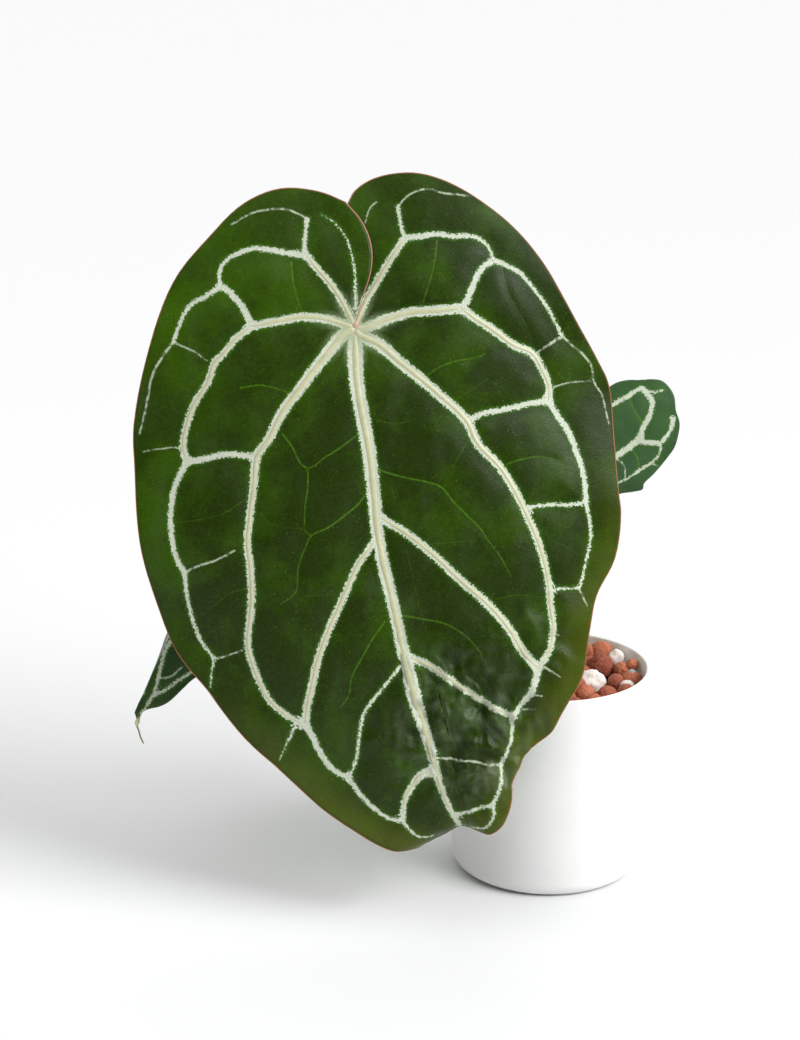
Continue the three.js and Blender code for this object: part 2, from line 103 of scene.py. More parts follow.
def pot_side(z):
    return FOOT_RADIUS + (RIM_RADIUS - FOOT_RADIUS) * z / POT_HEIGHT


def turn_profile(mesh_maker, outline, steps):
    """Turns an open outline of (radius, height) pairs into a closed round body."""
    points = [mesh_maker.verts.new((x, 0, z)) for x, z in outline]
    for near, far in zip(points, points[1:]):
        mesh_maker.edges.new((near, far))
    bmesh.ops.spin(mesh_maker, geom=mesh_maker.verts[:] + mesh_maker.edges[:], cent=(0, 0, 0),
                   axis=(0, 0, 1), angle=2 * math.pi, steps=steps, use_merge=True)
    bmesh.ops.remove_doubles(mesh_maker, verts=mesh_maker.verts, dist=0.001)
    bmesh.ops.recalc_face_normals(mesh_maker, faces=mesh_maker.faces)


# Matt white glaze over stoneware: soft highlights, and a thin wall that lets a little light in
stoneware, shader = new_material("matt_white_stoneware")
place = add_node(stoneware, "TexCoord", {}, "Object")
# Cast slip is never quite even: a faint cloudiness, and a fine tooth about 0.6 mm across
cloud = add_node(stoneware, "TexNoise", {"Vector": place, "Scale": 28.0, "Detail": 3.0})
tint = add_node(stoneware, "Mix", {0: cloud, 6: srgb("#f2f2f1"), 7: srgb("#ecebe9")}, 2,
                data_type="RGBA")
tooth = add_node(stoneware, "TexNoise", {"Vector": place, "Scale": 1600.0, "Detail": 2.0})
grain = add_node(stoneware, "Bump", {"Height": tooth, "Strength": 0.08, "Distance": 0.0004})
set_inputs(shader, {"Base Color": tint, "Normal": grain, "Roughness": 0.62, "Subsurface Weight": 0.3,
                    "Subsurface Radius": (1.0, 1.0, 1.0), "Subsurface Scale": 0.004})

pot = bmesh.new()
corner_side = pot_side(FOOT_CORNER)
floor_edge = FOOT_RADIUS - FOOT_CORNER
profile = [(0, 0), (floor_edge, 0)]
for turn in range(10, 90, 10):
    profile.append((
        corner_side - FOOT_CORNER + FOOT_CORNER * math.sin(math.radians(turn)),
        FOOT_CORNER - FOOT_CORNER * math.cos(math.radians(turn)),
    ))
profile.append((corner_side, FOOT_CORNER))
for share in (0.25, 0.5, 0.75):
    z = FOOT_CORNER + share * (POT_HEIGHT - FOOT_CORNER)
    profile.append((pot_side(z), z))
profile.append((RIM_RADIUS, POT_HEIGHT - RIM_ROUND))
for turn in range(15, 180, 15):
    profile.append((
        RIM_RADIUS - RIM_ROUND + RIM_ROUND * math.cos(math.radians(turn)),
        POT_HEIGHT - RIM_ROUND + RIM_ROUND * math.sin(math.radians(turn)),
    ))
profile += [
    (RIM_RADIUS - POT_WALL, POT_HEIGHT - RIM_ROUND),
    (corner_side - POT_WALL, FOOT_CORNER + POT_WALL),
    (floor_edge - 1, POT_WALL),
    (0, POT_WALL),
]
turn_profile(pot, profile, 120)
finished("pot_body", pot, [stoneware], ["pot"])

# Growing bed
# Fired clay balls, 12 to 14 mm across, poured over one another. Fired clay is matt, terracotta
# coloured and pitted with small pores, darkened inside with painted shade. Only the top layers
# are made, over a filling darkened with painted shade to stand for the shaded layers beneath.
BED_TOP = POT_HEIGHT - 15
BALL_RADIUS = 6.6
GAP = 0.3
STONE_RINGS = [(53.4, 23), (42, 18), (30, 13), (19, 8)]
SHOWN_STONES = [
    ((36.6, 41, BED_TOP + 8), 6.3, False),
    ((35.5, 23.6, BED_TOP + 5), 6.9, False),
    ((29.5, 41, BED_TOP + 7), 5.6, False),
    ((49.3, 17.5, BED_TOP + 4), 5.4, False),
    ((55, 17, BED_TOP + 8), 3.9, False),
    ((43.3, 1.5, BED_TOP + 3), 4.6, False),
    ((27, -1.5, BED_TOP + 3), 8.4, True),
    ((46.5, 31.8, BED_TOP + 7), 5.2, True),
    ((50.5, -4, BED_TOP + 1.5), 4.4, True),
]
LARGEST_SHOWN = 2
LARGEST_SWELL = 1.24
BALL_SWELL = 1.12
LOWER_RINGS = [(55, 27), (46.5, 22), (36, 17), (25, 12), (15, 7)]
CLAY_SKIN = ((12, 0.1), (4, 0.03), (1.3, 0.012))
CLAY_DENT = 1.6
DENT_FROM, DENT_DEPTH = 0.25, 0.35
STONE_FLATNESS = 0.94
drawn = 29


def draw():
    """A repeatable draw between 0 and 1, the same one that places the solids' stones."""
    global drawn
    drawn = drawn * 16807 % 2147483647
    return drawn / 2147483647


stones = []
for at, radius, is_pumice in SHOWN_STONES:
    stones.append((Vector(at), radius, 6 * draw(), 6 * draw(), is_pumice))
for ring, count in STONE_RINGS:
    for i in range(count):
        turn = (i + 0.5 + 0.3 * (draw() - 0.5)) / count * 2 * math.pi
        reach = ring + 1.6 * (draw() - 0.5)
        at = Vector((reach * math.cos(turn), reach * math.sin(turn), BED_TOP + 1 + 3 * draw()))
        radius = BALL_RADIUS * (0.86 + 0.16 * draw())
        spread = [((other[0] - at).length / (other[1] + radius), other[4]) for other in stones]
        is_pumice = draw() < 0.18 and all(far > (1.3 if lump else 0.8) for far, lump in spread)
        if all(far > 0.72 for far, lump in spread):
            stones.append((at, radius, 6 * draw(), 6 * draw(), is_pumice))


def add_stone(mesh_maker, at, radius, spin, lean, detail, skin_noise, dent_size, tone=0.5):
    """Adds one stone: a sphere whose skin is pushed in and out by coarse and fine unevenness."""
    tones = mesh_maker.verts.layers.float.get("tone") or mesh_maker.verts.layers.float.new("tone")
    made = bmesh.ops.create_icosphere(mesh_maker, subdivisions=detail, radius=1)["verts"]
    seed = Vector((7.3 * at[0], 5.1 * at[1], 3.7 * at[2]))
    turned = Matrix.Rotation(spin, 3, "Z") @ Matrix.Rotation(lean, 3, "X")
    for vert in made:
        skin = vert.co.copy()
        push = 0
        for size, depth in skin_noise:
            push += depth * noise.noise(skin * radius / size + seed)
        pit = max(0, noise.noise(skin * radius / dent_size + 2 * seed) - DENT_FROM)
        shape = skin * radius * (1 + push) * (1 - DENT_DEPTH * pit)
        shape.z *= STONE_FLATNESS
        vert.co = turned @ shape + Vector(at)
        vert[tones] = tone


# Fired clay: dry, matt and porous
fired_clay, shader = new_material("fired_clay")
place = add_node(fired_clay, "TexCoord", {}, "Object")
tone = add_node(fired_clay, "Attribute", {}, "Fac", attribute_name="tone")
# Each ball has its own firing, from orange brown to dark brown, and a dusting of pale clay.
firing = add_node(fired_clay, "ValToRGB", {"Fac": tone})
firing.node.color_ramp.elements[0].color = srgb("#8c4632")
firing.node.color_ramp.elements[1].color = srgb("#bd6f50")
firing.node.color_ramp.elements.new(0.5).color = srgb("#a65a41")
dust = add_node(fired_clay, "TexNoise", {"Vector": place, "Scale": 420.0, "Detail": 5.0, "Roughness": 0.7})
dust_share = add_node(fired_clay, "MapRange", {"Value": dust, 1: 0.5, 2: 0.72, 3: 0.0, 4: 0.55})
dusty = add_node(fired_clay, "Mix", {0: dust_share, 6: firing, 7: srgb("#c98f72")}, 2, data_type="RGBA")
# Pores are 0.3 to 1 mm holes, drawn dark with painted shade inside them.
pores = add_node(fired_clay, "TexVoronoi", {"Vector": place, "Scale": 520.0, "Randomness": 1.0})
pore_shade = add_node(fired_clay, "MapRange", {"Value": pores, 1: 0.1, 2: 0.25, 3: 0.5, 4: 0.0})
fine_pitted = add_node(fired_clay, "Mix", {0: pore_shade, 6: dusty, 7: srgb("#5e2c20")}, 2,
                       data_type="RGBA")
# A few balls show a round hole, up to 2 mm across, painted nearly black as the shade inside it.
holes = add_node(fired_clay, "TexVoronoi", {"Vector": place, "Scale": 150.0, "Randomness": 1.0})
hole_draw = add_node(fired_clay, "SeparateColor", {0: holes.node.outputs["Color"]})
hole_size = add_node(fired_clay, "MapRange", {"Value": hole_draw, 1: 0.2, 2: 1.0, 3: 0.02, 4: 0.2})
hole_edge = add_node(fired_clay, "Math", {0: holes, 1: hole_size}, operation="SUBTRACT")
hole_shade = add_node(fired_clay, "MapRange", {"Value": hole_edge, 1: -0.03, 2: 0.02, 3: 0.9, 4: 0.0})
pitted = add_node(fired_clay, "Mix", {0: hole_shade, 6: fine_pitted, 7: srgb("#2c1410")}, 2,
                  data_type="RGBA")
skin_bump = add_node(fired_clay, "Bump", {"Height": dust, "Strength": 0.5, "Distance": 0.0006})
pore_bump = add_node(fired_clay, "Bump", {"Height": pores, "Strength": 0.6, "Distance": 0.0008,
                                          "Normal": skin_bump})
set_inputs(shader, {"Base Color": pitted, "Normal": pore_bump, "Roughness": 0.92})


def mottled(name, dark, pale, scale, detail, roughness, bump=None):
    """A material clouded between two colours, its skin raised by the same clouds if a bump is given."""
    material, shader = new_material(name)
    place = add_node(material, "TexCoord", {}, "Object")
    clouds = add_node(material, "TexNoise", {"Vector": place, "Scale": scale, "Detail": detail})
    tint = add_node(material, "Mix", {0: clouds, 6: srgb(dark), 7: srgb(pale)}, 2, data_type="RGBA")
    set_inputs(shader, {"Base Color": tint, "Roughness": roughness})
    if bump:
        strength, depth = bump
        raised = add_node(material, "Bump", {"Height": clouds, "Strength": strength, "Distance": depth})
        set_inputs(shader, {"Normal": raised})
    return material


# Crumbs of broken clay, about 3 mm across, dark brown as painted shade of the deep bed,
# and darker still in the gaps between crumbs as painted shade
shaded_bed_filling = mottled("shaded_bed_filling", "#2a1610", "#5a3324", 300.0, 4.0, 0.95, bump=(0.8, 0.002))

filling = bmesh.new()
filling_side = pot_side(BED_TOP) - POT_WALL - 2 * GAP
edge_profile = [
    (0, POT_WALL + GAP), (floor_edge - 1.5, POT_WALL + GAP),
    (pot_side(FOOT_CORNER) - POT_WALL - 2 * GAP, FOOT_CORNER + POT_WALL),
    (filling_side, BED_TOP - 6), (0, BED_TOP - 4),
]
turn_profile(filling, edge_profile, 48)
finished("bed_filling", filling, [shaded_bed_filling], ["clay_bed"])

balls = bmesh.new()
for i, (at, radius, spin, lean, is_pumice) in enumerate(stones):
    if not is_pumice:
        # The first two, nearest the main leaf, are the largest
        swollen = radius * (LARGEST_SWELL if i < LARGEST_SHOWN else BALL_SWELL)
        add_stone(balls, at, swollen, spin, lean, 4, CLAY_SKIN, CLAY_DENT, draw())
# The layer beneath, seen through the gaps, kept to the darker firing tones as painted shade
for ring, count in LOWER_RINGS:
    for i in range(count):
        turn = (i + 0.4 * draw()) / count * 2 * math.pi
        radius = BALL_RADIUS * (0.75 + 0.2 * draw())
        reach = min(ring, filling_side - radius)
        at = Vector((reach * math.cos(turn), reach * math.sin(turn), BED_TOP - 5 + 2.5 * draw()))
        add_stone(balls, at, radius, 6 * draw(), 6 * draw(), 3, CLAY_SKIN, CLAY_DENT, 0.6 * draw())
finished("clay_balls", balls, [fired_clay], [])

# Pumice lumps and the mineral chip
# Foamed volcanic glass, off-white with a pinkish cast, broken rather than rolled, and one small
# grey-green zeolite chip. They lie loose between the balls.
PUMICE_SWELL = 1.06
PUMICE_SKIN = ((7, 0.26), (3.2, 0.1), (1.3, 0.02))
PUMICE_DENT = 1.3
CHIP_AT, CHIP_RADIUS, CHIP_SPIN, CHIP_LEAN = (54.4, 6.2, BED_TOP + 6.2), 2.7, 0.4, 0.9
CHIP_SKIN = ((4, 0.35), (1.5, 0.12))
CHIP_DENT = 1.0

# Pumice: chalk-dry glass froth, its open bubbles about 1 mm wide
pumice, shader = new_material("pumice")
place = add_node(pumice, "TexCoord", {}, "Object")
froth = add_node(pumice, "TexVoronoi", {"Vector": place, "Scale": 900.0})
stain = add_node(pumice, "TexNoise", {"Vector": place, "Scale": 180.0, "Detail": 4.0})
stained = add_node(pumice, "Mix", {0: stain, 6: srgb("#f6f2ee"), 7: srgb("#e6d8d0")}, 2,
                   data_type="RGBA")
froth_bump = add_node(pumice, "Bump", {"Height": froth, "Strength": 0.35, "Distance": 0.0004})
set_inputs(shader, {"Base Color": stained, "Normal": froth_bump, "Roughness": 0.95})

lumps = [stone[:4] for stone in stones if stone[4]]
for i, (at, radius, spin, lean) in enumerate(lumps):
    lump = bmesh.new()
    add_stone(lump, at, PUMICE_SWELL * radius, spin, lean, 4, PUMICE_SKIN, PUMICE_DENT)
    finished(f"pumice_lump_{i + 1}", lump, [pumice], [f"pumice_{i + 1}"])

# Zeolite: a chalky stone with flecks about 1.5 mm across
zeolite = mottled("zeolite", "#75898a", "#b5c4bd", 700.0, 4.0, 0.85, bump=(0.5, 0.0005))
chip = bmesh.new()
add_stone(chip, CHIP_AT, CHIP_RADIUS, CHIP_SPIN, CHIP_LEAN, 3, CHIP_SKIN, CHIP_DENT)
finished("zeolite_chip", chip, [zeolite], ["mineral_chip"])

# Stem
# The short stock of the plant, green under corky brown leaf scars, with the dry papery sheaths
# of older leaves round it. It stands rooted in the bed.
STEM_RADIUS = 9.5
STEM_TOP = 141
SHEATHS = [(285, 30), (15, 24), (100, 33)]
SHEATH_TURN = 34
SHEATH_THICKNESS = 0.5
STEM_ROOT = BED_TOP - 12
STEM_STEPS = 48
# The top is drawn in over this height, by this much
SHOULDER_HEIGHT, SHOULDER_DEPTH = 7, 4.2


def smooth_path(points, steps):
    """Points along a smooth curve through the given ones, evenly by parameter."""
    knots = [Vector(p) for p in points]
    knots = [2 * knots[0] - knots[1]] + knots + [2 * knots[-1] - knots[-2]]
    spans = len(points) - 1
    path = []
    for i in range(steps + 1):
        s = min(i / steps * spans, spans - 1e-9)
        k = int(s)
        t = s - k
        p0, p1, p2, p3 = knots[k:k + 4]
        d0, d1, d2 = (max(1e-4, (q - p).length ** 0.5) for p, q in ((p0, p1), (p1, p2), (p2, p3)))
        m1 = ((p1 - p0) / d0 - (p2 - p0) / (d0 + d1) + (p2 - p1) / d1) * d1
        m2 = ((p2 - p1) / d1 - (p3 - p1) / (d1 + d2) + (p3 - p2) / d2) * d1
        path.append(p1 + m1 * t + (3 * (p2 - p1) - 2 * m1 - m2) * t ** 2
                    + (2 * (p1 - p2) + m1 + m2) * t ** 3)
    return path


def add_rod(mesh_maker, path, radii, sides, up=None, height=0.3):
    """Adds a closed rod along a path, ring by ring. With an up direction at each place its section
    is a low lens that runs out level with the skin, and otherwise it is round."""
    rings = []
    side = None
    for i, at in enumerate(path):
        ahead = (path[min(i + 1, len(path) - 1)] - path[max(i - 1, 0)]).normalized()
        if up:
            side = ahead.cross(up[i]).normalized()
        else:
            side = side or ahead.orthogonal()
            side = (side - ahead * side.dot(ahead)).normalized()
        over = side.cross(ahead)
        ring = []
        for k in range(sides):
            turn = 2 * math.pi * k / sides
            rise = height * math.sin(turn) ** 3 if up else math.sin(turn)
            arm = side * math.cos(turn) + over * rise
            ring.append(mesh_maker.verts.new(at + arm * radii[i]))
        rings.append(ring)
    for near, far in zip(rings, rings[1:]):
        for k in range(sides):
            mesh_maker.faces.new((near[k], near[k - 1], far[k - 1], far[k]))
    mesh_maker.faces.new(rings[0])
    mesh_maker.faces.new(rings[-1][::-1])
    return rings


# Living green skin under corky brown scars, rough and matt
stock_bark, shader = new_material("green_stock_bark")
place = add_node(stock_bark, "TexCoord", {}, "Object")
scars = add_node(stock_bark, "TexNoise", {"Vector": place, "Scale": 160.0, "Detail": 5.0})
bark_tint = add_node(stock_bark, "ValToRGB", {"Fac": scars})
bark_tint.node.color_ramp.elements[0].color = srgb("#4c5a26")
bark_tint.node.color_ramp.elements[1].color = srgb("#a08a5c")
bark_tint.node.color_ramp.elements[0].position = 0.38
bark_tint.node.color_ramp.elements[1].position = 0.62
bark_bump = add_node(stock_bark, "Bump", {"Height": scars, "Strength": 0.7, "Distance": 0.001})
set_inputs(shader, {"Base Color": bark_tint, "Normal": bark_bump, "Roughness": 0.8})

# Papery dead sheaths, straw brown
dry_sheath, shader = new_material("dry_papery_sheath")
place = add_node(dry_sheath, "TexCoord", {}, "Object")
# Fibres run up the sheath, about 0.5 mm apart.
stretched = add_node(dry_sheath, "Mapping", {"Vector": place, "Scale": (1.0, 1.0, 0.08)})
fibres = add_node(dry_sheath, "TexNoise", {"Vector": stretched, "Scale": 1800.0, "Detail": 3.0})
fibre_tint = add_node(dry_sheath, "Mix", {0: fibres, 6: srgb("#8d6f45"), 7: srgb("#cbb184")}, 2,
                      data_type="RGBA")
fibre_bump = add_node(dry_sheath, "Bump", {"Height": fibres, "Strength": 0.5, "Distance": 0.0005})
set_inputs(shader, {"Base Color": fibre_tint, "Normal": fibre_bump, "Roughness": 0.7})

stock = bmesh.new()
stock_path = []
stock_radii = []
for i in range(STEM_STEPS + 1):
    z = STEM_ROOT + i * (STEM_TOP - STEM_ROOT) / STEM_STEPS
    near_top = max(0, z - (STEM_TOP - SHOULDER_HEIGHT)) / SHOULDER_HEIGHT
    # Leaf scars ring it, 5.5 mm apart
    swell = 0.5 * math.sin(z * 1.15) + 0.6 * noise.noise(Vector((0, 0, z / 3)))
    stock_path.append(Vector((0, 0, z)))
    stock_radii.append(STEM_RADIUS - 0.8 + swell - SHOULDER_DEPTH * near_top ** 2)
add_rod(stock, stock_path, stock_radii, 40)
bmesh.ops.recalc_face_normals(stock, faces=stock.faces)
finished("stem_stock", stock, [stock_bark], ["stem"])

sheaths = bmesh.new()
for turn, height in SHEATHS:
    made = bmesh.ops.create_grid(sheaths, x_segments=14, y_segments=24, size=0.5)["verts"]
    for vert in made:
        across, up = vert.co.x * 2, vert.co.y + 0.5
        width = SHEATH_TURN * (1 - up ** 2.2) + 1.5
        round_turn = math.radians(turn + across * width * (1.15 - 0.2 * up))
        lean = 1.2 + 2.6 * up ** 2 + 0.5 * noise.noise(Vector((3 * across, 5 * up, turn)))
        reach = STEM_RADIUS + lean
        z = BED_TOP + 5 + up * height
        vert.co = Vector((reach * math.cos(round_turn), reach * math.sin(round_turn), z))
sheath_piece = finished("dry_sheaths", sheaths, [dry_sheath], [])
wall = sheath_piece.modifiers.new("wall", "SOLIDIFY")
wall.thickness = SHEATH_THICKNESS * MM
wall.offset = 0

# Leaf stalks
# Round green petioles, 6 mm thick, faintly ribbed lengthwise and paler than the blade, each with
# a thicker joint just below its blade. Each stands in the stem and runs up behind its blade.
LEAF_LEAN = 17.5
STALK_RADIUS = 2.9
STALK_TAPER = 0.25
FOOT_FADE = 22
JOINT_RADIUS = 3.9
JOINT_LENGTH = 24
JOINT_FADE = 9
HUB_NECK = 6
ARRIVAL = (11, 4, GAP)
STALK_FOOT = STEM_TOP - 16
HUBS = {"main": (-123, -32.3, 365), "rear_left": (-190, 18.4, 259.7), "rear_right": (16.2, 64.2, 272)}
STALK_FEET = {"main": (-2.7, -4.6), "rear_left": (-4.6, 2.7), "rear_right": (4.6, 2.7)}
STALK_WAYS = {
    "main": [(-3.5, -5.5, 138), (-20, -9, 180), (-55, -8, 240), (-92, 0, 305), (-117, 3, 347)],
    "rear_left": [(-7, 3.5, 138), (-30, 8, 178), (-70, 15, 215), (-105, 32, 238), (-140, 46, 255),
                  (-172, 52, 264), (-187, 44, 262)],
    "rear_right": [(5, 6, 138), (12, 28, 175), (22, 56, 212), (28, 80, 240), (24, 92, 260)],
}
behind = Vector((0, math.cos(math.radians(LEAF_LEAN)), -math.sin(math.radians(LEAF_LEAN))))

# Smooth green skin with a soft sheen, blushed brown in places
petiole, shader = new_material("green_petiole")
place = add_node(petiole, "TexCoord", {}, "Object")
ribs = add_node(petiole, "TexNoise", {"Vector": place, "Scale": 240.0, "Detail": 3.0})
blush = add_node(petiole, "TexNoise", {"Vector": place, "Scale": 14.0, "Detail": 2.0})
petiole_green = add_node(petiole, "Mix", {0: ribs, 6: srgb("#4e6a24"), 7: srgb("#7f9848")}, 2,
                         data_type="RGBA")
blush_share = add_node(petiole, "MapRange", {"Value": blush, 1: 0.5, 2: 0.75, 3: 0.0, 4: 0.5})
petiole_tint = add_node(petiole, "Mix", {0: blush_share, 6: petiole_green, 7: srgb("#8a7a45")}, 2,
                        data_type="RGBA")
rib_bump = add_node(petiole, "Bump", {"Height": ribs, "Strength": 0.25, "Distance": 0.0005})
set_inputs(shader, {"Base Color": petiole_tint, "Normal": rib_bump, "Roughness": 0.42})

for name, way in STALK_WAYS.items():
    hub = Vector(HUBS[name])
    arrival = [hub + behind * (HUB_NECK + far) for far in ARRIVAL]
    foot = (*STALK_FEET[name], STALK_FOOT)
    path = smooth_path([foot, *way, *arrival], 96)
    radii = []
    for at in path:
        to_joint = (at - arrival[-1]).length
        joint = max(0, min(1, (JOINT_LENGTH - to_joint) / JOINT_FADE))
        near_foot = max(0, 1 - (at.z - STEM_TOP) / FOOT_FADE)
        shaft = STALK_RADIUS - STALK_TAPER + STALK_TAPER * near_foot
        radii.append(shaft + (JOINT_RADIUS - shaft) * joint * joint * (3 - 2 * joint))
    stalk = bmesh.new()
    add_rod(stalk, path, radii, 20)
    bmesh.ops.recalc_face_normals(stalk, faces=stalk.faces)
    finished(f"{name}_petiole", stalk, [petiole], [f"{name}_stalk"])

# Leaf blades
# Living leaves, thin and velvety: dark green, with a raised net of white veins, a thin reddish
# margin and a paler matt underside. Each grows from its stalk, behind the hub of its veins.

# A blade is drawn flat, its hub at 0,0, b towards the sinus, and seated in space as the solids are
BLADE_THICKNESS = 0.7
# The wave along the margin, and its phase on the left half and on the right
WAVE_TURN = 7.84
WAVE_PHASES = {True: 2.2, False: 0.8}
# Shares of the half width: the channel along the midrib, and the crease of a folded blade
CHANNEL_SHARE = 0.3
CREASE_SHARE = 0.12
# The basal lobes bend back from here on, and one lies over the other
LOBES_FROM, LOBES_OVER = 10, 85
OVERLAP_FROM, OVERLAP_FULL, OVERLAP_WIDTH = 2, 32, 22
SINUS_SHARE = 0.07
# Quilting: how far panels bulge and bands drop, and how deep the finest veins lie
PANEL_BULGE, PANEL_SPREAD = 1.25, 8.5
BAND_DROP = 0.35
CREASE_DEPTH, CREASE_SPREAD = 0.3, 2.6
# Unevenness all over: how wide, how deep, and its place in the noise
RUMPLES = ((26, 0.55, 3), (9, 0.2, 8))
# Ribs stand on bands at least this wide, and are this share of them
RIDGED_WIDTH = 5
RIDGE_SHARE = 0.21
# The margin's bead, and where it flushes pinker towards the sinus
BEAD_RADIUS = 0.45
FLUSH_FROM, FLUSH_FULL, FLUSH_WIDTH = 30, 75, 45
